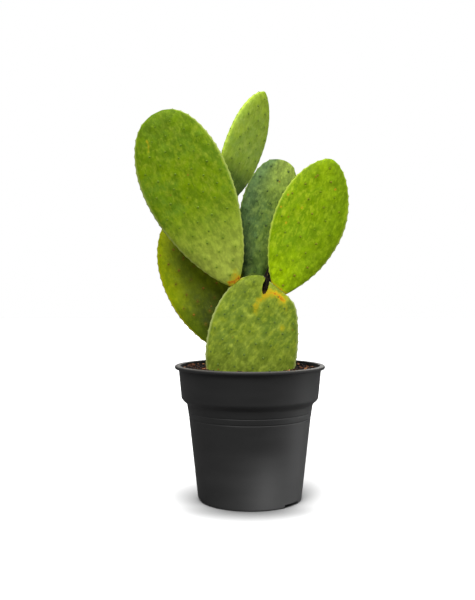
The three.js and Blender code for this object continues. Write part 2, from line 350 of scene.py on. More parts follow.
def ring(
    angles: Array, radius: Any, z: float, centre: Pair = (0.0, 0.0), flat: float = 1.0
) -> Array:
    """A level ring of points, one a row.

    Args:
        angles: The points' angles round the ring.
        radius: Its radius, or one radius a point.
        z: Its height.
        centre: The x and y of its middle.
        flat: How deep it is along Y for its width.

    Returns:
        The points.
    """
    x, y = centre[0] + radius * np.cos(angles), centre[1] + radius * np.sin(angles) * flat
    return np.stack([x, y, np.full_like(angles, z)], axis=1)


def lathe_faces(rings: int, sides: int) -> list[tuple[int, ...]]:
    """The faces of rings of points between two single end points, numbered first and last.

    Args:
        rings: How many rings there are.
        sides: How many points each has.

    Returns:
        The point numbers of each face.
    """
    last = rings * sides + 1
    faces: list[tuple[int, ...]] = []
    for side in range(sides):
        after = (side + 1) % sides
        faces.append((0, 1 + after, 1 + side))
        for ring_start in range(1, last - sides, sides):
            next_start = ring_start + sides
            faces.append(
                (ring_start + side, ring_start + after, next_start + after, next_start + side)
            )
        faces.append((last - sides + side, last - sides + after, last))
    return faces


def dress(piece: Piece, node: str) -> Piece:
    """Makes a piece ride on the plant's body and stand for a node of the part.

    Args:
        piece: The finished piece.
        node: The part's node that it stands for.

    Returns:
        The piece.
    """
    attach(piece, BODY)
    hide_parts(node)
    LOG.info("%s: %d faces, stands for %s", piece.name, len(piece.data.polygons), node)
    return piece


# ---- finishes


@dataclass(frozen=True)
class MouldedPlastic:
    """Black polypropylene of a nursery pot, injection moulded."""

    name: str = "moulded_black_polypropylene"
    colour: str = "#141414"
    scuffed: str = "#1f1f1f"
    roughness: Pair = (0.56, 0.66)
    # A painted highlight: the top of the rolled rim is paler, as though it caught the light.
    worn: str = "#54514d"
    worn_from: Pair = (150.0, 150.9)  # mm, the heights where the painted highlight along the rim's top starts and is full
    worn_share: float = 0.8  # how much of the highlight's pale colour shows there
    grain: float = 0.5  # mm, the fine texture that the mould leaves
    streak: float = 26.0  # mm, wide flow marks that run round the wall
    streak_stretch: Triple = (0.35, 0.35, 1.6)

    def material(self) -> Material:
        """Satin black with soft flow marks, a fine grain and a painted highlight along the rim's
        top.

        Returns:
            The material.
        """
        material, put = new_material(self.name)
        place = put("TexCoord", out="Object")
        flow = put("Mapping", {"Vector": place, "Scale": self.streak_stretch})
        marks = put("TexNoise", {"Vector": flow, "Scale": 1 / (self.streak * MM), "Detail": 4.0})
        grain = put("TexNoise", {"Vector": place, "Scale": 1 / (self.grain * MM), "Detail": 2.0})
        height = put("SeparateXYZ", (place,), "Z")
        # Painted highlight: a pale band along the top of the rim.
        start, full = (z * MM for z in self.worn_from)
        wear = put("MapRange", (height, start, full, 0.0, self.worn_share))
        black = put("ValToRGB", (marks,), stops=((0.35, self.colour), (0.8, self.scuffed)))
        worn = linear(self.worn)
        look = {
            "Base Color": put("Mix", {0: wear, 6: black, 7: worn}, 2, data_type="RGBA"),
            "Roughness": put("MapRange", (marks, 0.0, 1.0, *self.roughness)),
            "IOR": 1.49,
            "Specular IOR Level": 0.45,
        }
        return close(material, look, (grain, 0.12, 0.15))


@dataclass(frozen=True)
class PottingMix:
    """Damp bark and peat, each crumb in its own brown."""

    name: str
    stops: Stops = (
        (0.0, "#070403"), (0.45, "#120a06"), (0.7, "#2e180d"), (0.88, "#714228"), (1.0, "#b78054"),
    )
    grit: float = 1.1  # mm, the roughness of a crumb
    mottling: float = 0.9  # how far the grit changes a crumb's own tone

    def material(self) -> Material:
        """Rough, dull crumbs from nearly black peat to orange-brown bark.

        Returns:
            The material.
        """
        material, put = new_material(self.name)
        tone = put("Attribute", out="Fac", attribute_name="grain")
        size = {"Scale": 1 / (self.grit * MM), "Detail": 4.0, "Roughness": 0.7}
        fine = put("TexNoise", {"Vector": put("TexCoord", out="Object"), **size})
        centred = put("Math", (fine, 0.5), operation="SUBTRACT")
        feeds = (centred, self.mottling, tone)
        mixed = put("Math", feeds, operation="MULTIPLY_ADD", use_clamp=True)
        colour = put("ValToRGB", (mixed,), stops=self.stops)
        look = {"Base Color": colour, "Roughness": 0.93, "Specular IOR Level": 0.25}
        return close(material, look, (fine, 0.6, 0.5))


@dataclass(frozen=True)
class WaxySkin:
    """Skin of a paddle cactus: a green under a thin dull wax, mottled along the pad."""

    name: str
    flesh: str
    deep: str
    light: str
    # root and tip tint a pad's two ends: partly its own tone, on some pads painted shade below and
    # painted light on top
    root: str
    tip: str
    net: str
    # rim: the edge's pale margin, partly the skin's own and partly a painted highlight on the
    # rounded edge
    rim: str
    halo: str
    shade: str = "#4a5c10"  # the tint of the front's side that the other pads shade
    shade_span: Pair = (0.0, 1.0)  # where across the pad it starts and is full, left to right
    shade_strength: float = 0.0
    net_strength: float = 0.35
    net_floor: float = 0.4  # how much of the net between areoles shows in its faintest places
    fine_net_strength: float = 0.2
    halo_strength: float = 0.5
    # how strongly the pale rim, partly a painted highlight, shows
    rim_strength: float = 0.7
    bloom: str = "#6f8c3c"  # the bluish wax that lies in large soft clouds
    root_span: Pair = (0.35, 0.0)  # where along the pad its root tint, partly painted shade, starts and is full
    tip_span: Pair = (0.7, 1.0)
    tint_strength: float = 0.85
    fleck: str = "#8a5a1c"
    fleck_share: float = 0.18  # how many of the small cells hold a corky fleck
    fleck_edge: Pair = (0.11, 0.04)  # of a cell's size, where a fleck starts and is full
    fleck_strength: float = 0.8
    roughness: Pair = (0.5, 0.85)  # of the green and of cork
    blotch: float = 7.0  # mm
    streak: float = 2.6  # mm
    slant: float = 0.0  # degrees, how far the streaks lean to the right of the pad's axis
    draws: tuple[tuple[Triple, Triple], ...] = (  # start and scale of two drawn-out patterns
        ((0.0, 0.0, 0.0), (1.0, 1.0, 2.0)),
        ((-0.3, -0.1, -1 / 3), (1.0, 1.0, 5 / 3)),
    )
    fine_cell: float = 6.5  # mm, the small raised net between areoles
    fine_line: float = 0.16  # half the width of its lines, for its cells' size
    fleck_cell: float = 13.0  # mm
    pore: float = 0.45  # mm
    cork_crumb: float = 1.8  # mm
    cork: Stops = (
        (0.1, "#8f9d1c"), (0.4, "#b0a81a"), (0.65, "#c2a01a"), (0.85, "#b8741a"), (1.0, "#6e4216"),
    )

    def material(self) -> Material:
        """Mottled green, pale net lines, corky scars, painted shade, and a pale rim partly painted
        as highlight.

        Returns:
            The material.
        """
        material, put = new_material(self.name)
        place = put("Attribute", out="Vector", attribute_name="place")
        # Each skin reads its patterns at a place of its own, so that no two pads look alike.
        own = sum(map(ord, self.name)) % 97 * 0.01
        place = put("Mapping", {"Vector": place, "Location": (own, own, 0.0)})
        lie = {"Vector": place, "Rotation": (0.0, math.radians(self.slant), 0.0)}
        drawn_out, shifted = (
            put("Mapping", {**lie, "Location": start, "Scale": scale}, vector_type="TEXTURE")
            for start, scale in self.draws
        )
        masks = {
            name: put("Attribute", out="Fac", attribute_name=name)
            for name in ("along", "shade", "net", "areole", "rim", "cork")
        }
        # Tint, place, size in mm, the noise where it starts and where it is full, strength.
        patterns = {
            "bloom": (self.bloom, place, self.blotch * 4.0, 0.45, 0.62, 0.6),
            "clouds": (self.deep, place, self.blotch * 2.6, 0.44, 0.58, 0.4),
            "blotches": (self.deep, drawn_out, self.blotch, 0.46, 0.6, 0.7),
            "pale_spots": (self.light, shifted, self.blotch * 0.8, 0.52, 0.66, 0.6),
            "streaks": (self.light, drawn_out, self.streak, 0.5, 0.66, 0.4),
            "dark_streaks": (self.deep, shifted, self.streak * 1.2, 0.48, 0.34, 0.5),
        }
        colour: Any = linear(self.flesh)
        for name, (tint, where, size, low, high, strength) in patterns.items():
            scale = {"Scale": 1 / (size * MM), "Detail": 3.0, "Roughness": 0.6}
            patches = put("TexNoise", {"Vector": where, **scale})
            masks[name] = put("MapRange", (patches, low, high))
            colour = self._lay(put, colour, linear(tint), masks[name], strength)
        plain = sum(a * b for a, b in zip(linear(self.flesh), LUMINANCE))
        root, tip = (
            put("MapRange", (masks["along"], *span), interpolation_type="SMOOTHSTEP")
            for span in (self.root_span, self.tip_span)
        )
        # The root and tip tints partly paint shade and light, and the shade tint is painted shade.
        for tint, mask, strength in (
            (self.root, root, self.tint_strength),
            (self.tip, tip, self.tint_strength),
            (self.shade, masks["shade"], self.shade_strength),
        ):
            # A tint keeps the mottling below it: it is as much lighter or darker.
            bright = put("RGBToBW", {"Color": colour})
            relative = put("Math", (bright, plain), operation="DIVIDE")
            feeds = {0: linear(tint)[:3], "Scale": relative}
            mottled = put("VectorMath", feeds, operation="SCALE")
            colour = self._lay(put, colour, mottled, mask, strength)
        fine_size = {"Vector": place, "Scale": 1 / (self.fine_cell * MM)}
        cells = put("TexVoronoi", fine_size, feature="DISTANCE_TO_EDGE")
        fine_net = put("MapRange", (cells, self.fine_line, 0.0))
        patchy = put("MapRange", (masks["pale_spots"], 0.0, 1.0, self.net_floor))
        broken_net = put("Math", (fine_net, masks["streaks"]), operation="MULTIPLY")
        loose_net = put("Math", (masks["net"], patchy), operation="MULTIPLY")
        for tint, mask, strength in (
            (self.net, broken_net, self.fine_net_strength),
            (self.net, loose_net, self.net_strength),
            (self.halo, masks["areole"], self.halo_strength),
            # The pale rim is partly a painted highlight where the rounded edge catches light.
            (self.rim, masks["rim"], self.rim_strength),
            (self.fleck, self._flecks(put, place), self.fleck_strength),
        ):
            colour = self._lay(put, colour, linear(tint), mask, strength)
        colour, cork = self._cork(put, place, colour, masks["cork"])
        pores = put("TexNoise", {"Vector": place, "Scale": 1 / (self.pore * MM), "Detail": 2.0})
        lumps = put("Math", (fine_net, 0.5, pores), operation="MULTIPLY_ADD")
        look = {
            "Base Color": colour,
            "Roughness": put("MapRange", (cork, 0.0, 1.0, *self.roughness)),
            "IOR": 1.43,
            "Specular IOR Level": 0.09,
        }
        return close(material, look, (lumps, 0.3, 0.25))

    def _lay(self, put: Put, below: Any, tint: Any, mask: Socket, strength: float) -> Socket:
        """Lays a tint over the colour below, as strongly as its mask and strength say."""
        amount = put("Math", (mask, strength), operation="MULTIPLY")
        return put("Mix", {0: amount, 6: below, 7: tint}, 2, data_type="RGBA")

    def _flecks(self, put: Put, place: Socket) -> Socket:
        """Small corky flecks in a share of the cells of a loose net.

        Args:
            put: The call that adds a node.
            place: Where the pattern is read.

        Returns:
            The flecks' mask.
        """
        cell = put("TexVoronoi", {"Vector": place, "Scale": 1 / (self.fleck_cell * MM)})
        spot = put("MapRange", (cell, *self.fleck_edge))
        drawn = put("SeparateColor", (cell.node.outputs["Color"],))
        chosen = put("Math", (drawn, self.fleck_share), operation="LESS_THAN")
        return put("Math", (spot, chosen), operation="MULTIPLY")

    def _cork(self, put: Put, place: Socket, below: Any, mask: Socket) -> tuple[Socket, Socket]:
        """Lays corky skin over the green: yellow at its margin, orange and brown inside.

        Args:
            put: The call that adds a node.
            place: Where the pattern is read.
            below: The green below.
            mask: How corky the skin is, from 0 to 1.

        Returns:
            The colour and the amount of cork.
        """
        size = {"Scale": 1 / (self.cork_crumb * MM), "Detail": 3.0, "Roughness": 0.7}
        crumbs = put("TexNoise", {"Vector": place, **size})
        uneven = put("Math", (crumbs, 0.5), operation="SUBTRACT")
        depth = put("Math", (uneven, 1.1, mask), operation="MULTIPLY_ADD", use_clamp=True)
        ramp = put("ValToRGB", (depth,), stops=self.cork)
        frayed = put("Math", (uneven, mask, mask), operation="MULTIPLY_ADD")
        amount = put("MapRange", (frayed, 0.04, 0.7), interpolation_type="SMOOTHSTEP")
        return put("Mix", {0: amount, 6: below, 7: ramp}, 2, data_type="RGBA"), amount


@dataclass(frozen=True)
class AreoleFelt:
    """Short wool of an areole, with barbed hairs in the same warm browns."""

    name: str
    dark: str
    light: str
    rim: str  # the rim's areoles, which nearly match the skin
    tuft: float = 0.6  # mm

    def material(self) -> Material:
        """Dull felt, darker or paler from one areole to the next.

        Returns:
            The material.
        """
        material, put = new_material(self.name)
        tone = put("Attribute", out="Fac", attribute_name="tone")
        place = put("TexCoord", out="Object")
        tufts = put("TexNoise", {"Vector": place, "Scale": 1 / (self.tuft * MM)})
        mixed = put("Math", (tufts, 0.5, tone), operation="MULTIPLY_ADD")
        stops = ((0.3, self.dark), (0.7, self.light), (1.0, self.rim))
        wool = {"Roughness": 0.9, "Specular IOR Level": 0.2}
        sheen = {"Sheen Weight": 0.1, "Sheen Roughness": 0.5}
        look = {"Base Color": put("ValToRGB", (mixed,), stops=stops), **wool, **sheen}
        return close(material, look)


@dataclass(frozen=True)
class DriedBud:
    """A shrivelled bud, dark and matt, with paler ridges and a brown foot; its near-black top
    paints shade.
    """

    name: str = "shrivelled_bud_skin"
    dark: str = "#130e06"
    light: str = "#6e5634"
    fibre: float = 1.5  # mm
    fibre_stretch: Triple = (1.0, 1.0, 0.3)
    foot_span: Pair = (240.0, 226.0)  # mm, the heights between which it turns brown
    foot_gain: Pair = (-0.1, 0.34)  # added to the fibres' share of the pale colour

    def material(self) -> Material:
        """Nearly black brown with fibrous streaks, which reads as a dead scar and paints the gap's
        shade.

        Returns:
            The material.
        """
        material, put = new_material(self.name)
        place = put("TexCoord", out="Object")
        long = put("Mapping", {"Vector": place, "Scale": self.fibre_stretch})
        fibres = put("TexNoise", {"Vector": long, "Scale": 1 / (self.fibre * MM), "Detail": 3.0})
        height = put("SeparateXYZ", (place,), "Z")
        start, full = (z * MM for z in self.foot_span)
        foot = put("MapRange", (height, start, full, *self.foot_gain))
        browned = put("Math", (fibres, foot), operation="ADD")
        # Painted shade: the near-black stands in for the dark gap behind the notch; the brown foot
        # is the scar's own.
        colour = put("ValToRGB", (browned,), stops=((0.45, self.dark), (0.8, self.light)))
        look = {"Base Color": colour, "Roughness": 0.9, "Specular IOR Level": 0.2}
        return close(material, look, (fibres, 0.6, 0.5))


@dataclass(frozen=True)
class StudioPaper:
    """Matt white paper under the pot."""

    name: str = "matt_white_paper"
    gain: float = 0.95  # how light it looks; the lamps overlight it, so it burns out to white
    tooth: float = 0.8  # mm
    crease: float = 55.0  # mm, how far the painted soft shadow round the foot reaches
    crease_depth: Pair = (1.3, 2.6)  # how strongly it darkens at the pot's sides and in front
    crease_span: Pair = (-30.0, -70.0)  # mm, the distances along Y where those two hold
    crease_facing: Triple = (0.0, 1.0, 0.05)  # tilted, so that the painted shadow is deepest in front
    cast: float = 0.16  # how light it is for the light that it throws back at the plant

    def material(self) -> Material:
        """Plain white with the faintest tooth, overlit so that only a painted shadow round the
        pot's foot shows.

        The paper is overlit, as on a bright studio sweep, so it throws less light back at the
        plant than its looks would say.

        Returns:
            The material.
        """
        material, put = new_material(self.name)
        place = put("TexCoord", out="Object")
        tooth = put("TexNoise", {"Vector": place, "Scale": 1 / (self.tooth * MM)})
        # Painted shadow: the paper darkens where the pot hides its sky, by ambient occlusion, more
        # in front.
        reach = {"Distance": self.crease * MM, "Normal": self.crease_facing}
        open_sky = put("AmbientOcclusion", reach, "AO", samples=16)
        start, full = (y * MM for y in self.crease_span)
        feeds = (put("SeparateXYZ", (place,), "Y"), start, full, *self.crease_depth)
        depth = put("MapRange", feeds, interpolation_type="SMOOTHSTEP")
        deepened = put("Math", (open_sky, depth), operation="POWER")
        seen = put("Math", (deepened, self.gain), operation="MULTIPLY")
        feeds_by_ray = {0: put("LightPath", out="Is Camera Ray"), 2: self.cast, 3: seen}
        tone = put("Mix", feeds_by_ray, data_type="FLOAT")
        return close(material, {"Color": tone}, (tooth, 0.03, 0.1), "BsdfDiffuse")


# ---- the pot


@dataclass(frozen=True)
class Corner:
    """A corner of a turned section: its radius from the axis, its height and its rounding."""

    radius: float
    z: float
    rounding: float = 0.0


@dataclass(frozen=True)
class Pot:
    """A round nursery pot with a rolled rim, a collar, a tapered wall and three drains."""

    rim_radius: float = 85.0
    height: float = 151.0
    bead_height: float = 3.8
    bead_bulge: float = 1.5
    bead_lip: float = 0.7
    collar_top_radius: float = 80.6
    collar_bottom: Pair = (77.3, 113.5)  # here and below, a radius and a height
    shoulder: Pair = (71.4, 108.0)
    wall_step: Pair = (69.0, 93.0)
    foot_radius: float = 58.6
    foot_bevel: float = 1.0
    wall: float = 1.8
    groove_heights: Pair = (92.5, 99.5)
    groove_depth: float = 0.5
    groove_half_height: float = 0.9
    floor: float = 2.6
    ledge: Triple = (45.0, 49.0, 6.0)  # its inner and outer radius and its height
    notch_inner_radius: float = 50.5
    notch_height: float = 3.6
    notch_span: float = 24.0
    notch_degrees: Triple = (-39.0, 81.0, 193.0)
    slot: Triple = (11.0, 3.2, 53.2)  # its length, its width and the radius where it lies
    overlap: float = 1.0  # how far the tools of the cuts reach past what they cut
    sharp: float = 38.0  # degrees, from which an edge shows as one
    sides: int = 168
    finish: MouldedPlastic = field(default_factory=MouldedPlastic)

    @property
    def collar_top(self) -> float:
        """The height at which the collar meets the rolled rim."""
        return self.height - self.bead_height

    def radius(self, z: float) -> float:
        """The outside's radius at a height, along the plain walls.

        Args:
            z: The height.

        Returns:
            The radius.
        """
        bends = (self.wall_step, self.shoulder, self.collar_bottom)
        walls = ((self.foot_radius, 0.0), *bends, (self.collar_top_radius, self.collar_top))
        return float(np.interp(z, [height for _, height in walls], [wide for wide, _ in walls]))

    def outside(self) -> list[Corner]:
        """The section's outside, from the axis out and up to the rim's inner edge.

        Returns:
            Its corners.
        """
        corners = [
            Corner(0.0, 0.0),
            Corner(self.foot_radius - self.foot_bevel, 0.0, 0.5),
            Corner(self.radius(self.foot_bevel), self.foot_bevel, 0.5),
        ]
        for z in self.groove_heights:
            for side in (-1, 0, 1):
                height = z + side * self.groove_half_height
                depth = 0.0 if side else self.groove_depth
                corners.append(Corner(self.radius(height) - depth, height, 0.35))
        corners += [
            Corner(*self.shoulder, 1.6),
            Corner(*self.collar_bottom, 2.2),
            Corner(self.collar_top_radius, self.collar_top, 0.5),
        ]
        for angle in map(math.radians, range(-90, 91, 18)):
            radius = self.rim_radius - self.bead_bulge * (1 - math.cos(angle))
            z = self.collar_top + self.bead_height / 2 * (1 + math.sin(angle))
            corners.append(Corner(radius, z))
        inner = self.collar_top_radius - self.wall
        corners.append(Corner(inner + self.bead_lip, self.height, 0.4))
        return corners + [Corner(inner, self.height - self.bead_lip, 0.4)]

    def inside(self) -> list[Corner]:
        """The section's inside, from the collar down and in to the axis.

        Returns:
            Its corners.
        """
        wall, (ledge_in, ledge_out, ledge_z) = self.wall, self.ledge
        return [
            Corner(self.collar_top_radius - wall, self.collar_top),
            Corner(self.collar_bottom[0] - wall, self.collar_bottom[1] + wall / 2, 1.5),
            Corner(self.shoulder[0] - wall, self.shoulder[1] + wall / 2, 1.0),
            Corner(self.wall_step[0] - wall - self.groove_depth, self.wall_step[1]),
            Corner(self.radius(ledge_z) - wall, ledge_z, 0.8),
            Corner(ledge_out, ledge_z, 0.8),
            Corner(ledge_in, self.floor, 0.8),
            Corner(0.0, self.floor),
        ]

    def build(self) -> Piece:
        """Turns the section round the pot's axis, cuts the drains and dresses the pot.

        Returns:
            The pot.
        """
        section = rounded_section(self.outside() + self.inside())
        mesh = bpy.data.meshes.new("nursery_pot")
        points = [(radius * MM, z * MM, 0.0) for radius, z in section]
        mesh.from_pydata(points, [(i, i + 1) for i in range(len(points) - 1)], [])
        pot = place_object("nursery_pot", mesh)
        inputs = {"Sides": self.sides, "Finish": self.finish.material()}
        grow(pot, "turned_section", inputs, self.turn)
        turn_outwards(pot.data)
        for degrees in self.notch_degrees:
            carve(pot, self.drain_space(math.radians(degrees)))
        pot.data.set_sharp_from_angle(angle=math.radians(self.sharp))
        return dress(pot, "pot")

    def turn(self, put: Put, given: Any) -> Socket:
        """Turns a section, drawn as radius and height in XY, round the Z axis.

        Args:
            put: The call that adds a node.
            given: The tree's inputs.

        Returns:
            The turned section.
        """
        # The path is a circle of one metre, and the section's radii are measured from it.
        moves = {"Translation": (-1.0, 0.0, 0.0), "Scale": (1.0, -1.0, 1.0)}
        moved = put("GeometryNodeTransform", {"Geometry": given["Geometry"], **moves})
        section = put("GeometryNodeMeshToCurve", (moved,))
        path = {"Resolution": given["Sides"], "Radius": 1.0}
        circle = put("GeometryNodeCurvePrimitiveCircle", path)
        swept = put("GeometryNodeCurveToMesh", {"Curve": circle, "Profile Curve": section})
        merged = {"Geometry": swept, "Distance": 0.01 * MM}
        smooth = put("GeometryNodeSetShadeSmooth", (put("GeometryNodeMergeByDistance", merged),))
        return put("GeometryNodeRealizeInstances", (smooth,))

    def drain_space(self, middle: float) -> Piece:
        """The space of one notch under the foot and the slot above it.

        Args:
            middle: The angle of its place round the foot.

        Returns:
            A closed tool for the cut.
        """
        half = math.radians(self.notch_span / 2)
        turns = np.linspace(middle - half, middle + half, 9)
        around = np.concatenate([turns, turns[::-1]])
        outer = self.radius(self.notch_height) + self.overlap
        radii = np.repeat([outer, self.notch_inner_radius], len(turns))
        levels = [ring(around, radii, z) for z in (-self.overlap, self.notch_height)]
        count = len(around)
        faces = [tuple(range(count)), tuple(range(2 * count - 1, count - 1, -1))]
        for i, after in enumerate([*range(1, count), 0]):
            faces.append((i, after, count + after, count + i))
        tool = mesh_object("drain_space", np.concatenate(levels) * MM, faces)
        length, width, radius = self.slot
        start = self.notch_height - self.overlap
        reach = self.ledge[2] + self.overlap - start
        place = Vector((radius * MM, 0.0, (start + reach / 2) * MM))
        scale = Matrix.Diagonal((width * MM, length * MM, reach * MM, 1.0))
        centre = Matrix.Rotation(middle, 4, "Z") @ Matrix.Translation(place)
        slot = bmesh.new()
        slot.from_mesh(tool.data)
        bmesh.ops.create_cube(slot, size=1.0, matrix=centre @ scale)
        slot.to_mesh(tool.data)
        slot.free()
        carve(tool, place_object("drain_space_copy", tool.data.copy()), "UNION")
        return tool


def rounded_section(corners: list[Corner], steps: int = 4, most: float = 0.45) -> list[Pair]:
    """Rounds the corners of a section.

    Args:
        corners: The section's corners.
        steps: How many short edges a rounded corner gets.
        most: The largest share of an edge that a rounding may take.

    Returns:
        The section's points as radius and height.
    """
    points: list[Pair] = []
    places = [Vector((corner.radius, corner.z)) for corner in corners]
    for i, (corner, here) in enumerate(zip(corners, places)):
        if corner.rounding == 0.0 or i in (0, len(corners) - 1):
            points.append((here.x, here.y))
            continue
        before, after = places[i - 1] - here, places[i + 1] - here
        reach = min(corner.rounding, before.length * most, after.length * most)
        start, end = here + before.normalized() * reach, here + after.normalized() * reach
        for share in (step / steps for step in range(steps + 1)):
            place = start.lerp(here, share).lerp(here.lerp(end, share), share)
            points.append((place.x, place.y))
    return points


# ---- the pads


@dataclass(frozen=True)
class Scar:
    """A corky or yellowed patch on a pad's front, along a line of (x, z) places."""

    line: tuple[Pair, ...]
    reach: float  # mm to either side of the line
    strength: float = 1.0
    ragged: float = 0.35  # how far noise eats into its margin
    crumb: float = 5.0  # mm, the size of that noise
    fade: Pair = (-0.1, 1.6)  # times its reach, where it starts to fade and has gone
    farthest: float = 2.5  # times its reach, past which nothing of it shows

    def mask(self, points: Array) -> Array:
        """How strongly the patch shows at points in metres, in the plant's frame.

        Args:
            points: The points, one a row.

        Returns:
            One strength a point.
        """
        flat = points[:, (0, 2)] / MM
        away = np.full(len(flat), np.inf)
        starts = self.line if len(self.line) > 1 else self.line * 2
        for start, end in zip(starts, starts[1:]):
            a, b = np.array(start), np.array(end)
            along = b - a
            share = np.clip((flat - a) @ along / max(along @ along, 1e-9), 0.0, 1.0)
            away = np.minimum(away, np.linalg.norm(flat - a - share[:, None] * along, axis=1))
        near = np.where(away < self.reach * self.farthest)[0]
        mask = np.zeros(len(flat))
        if len(near):
            rough = ripple(points[near], self.crumb, seed=7.3, octaves=3) * self.ragged
            mask[near] = 1.0 - ease(away[near] / self.reach + rough, *self.fade)
        return mask * self.strength


@dataclass(frozen=True)
class Notch:
    """A healed bite out of a pad's top edge, as a stretched ball with uneven walls."""

    centre: Triple = (17.6, -4.0, 240.5)
    half: Triple = (3.6, 22.0, 11.5)
    tilt: float = 15.0
    sway: Pair = (0.6, 5.0)  # mm, how far its walls wander, and over what length
    margin: Pair = (0.3, 2.0)  # mm from its wall, where its cork is full and where it ends
    cork: float = 0.15
    seed: int = 11  # of the walls' wandering

    def placement(self) -> Matrix:
        """The matrix that turns a unit ball into the bite, in metres.

        Returns:
            The matrix.
        """
        turned = Matrix.Rotation(math.radians(self.tilt), 4, "Y")
        stretched = Matrix.Diagonal((*(reach * MM for reach in self.half), 1.0))
        return Matrix.Translation(Vector(self.centre) * MM) @ turned @ stretched

    def space(self) -> Piece:
        """The bite's space, as a closed tool for the cut.

        Returns:
            The tool.
        """
        tool = mesh_object("notch_space", np.zeros((0, 3)), [])
        ball = bmesh.new()
        bmesh.ops.create_icosphere(ball, subdivisions=4, radius=1.0, matrix=self.placement())
        noise.seed_set(self.seed)
        for vertex in ball.verts:
            sway = noise.noise_vector(vertex.co / (self.sway[1] * MM))
            vertex.co += Vector((sway.x, 0.0, sway.z)) * self.sway[0] * MM
        for face in ball.faces:
            face.smooth = True
        ball.to_mesh(tool.data)
        ball.free()
        return tool

    def nearness(self, points: Array) -> Array:
        """How near points in metres are to the bite, from 1 at its wall to 0.

        Args:
            points: The points, one a row, in the plant's frame.

        Returns:
            One nearness a point.
        """
        inverse = np.array(self.placement().inverted())
        local = points @ inverse[:3, :3].T + inverse[:3, 3]
        away = (np.linalg.norm(local, axis=1) - 1.0) * self.half[0]
        return 1.0 - ease(away, *self.margin)


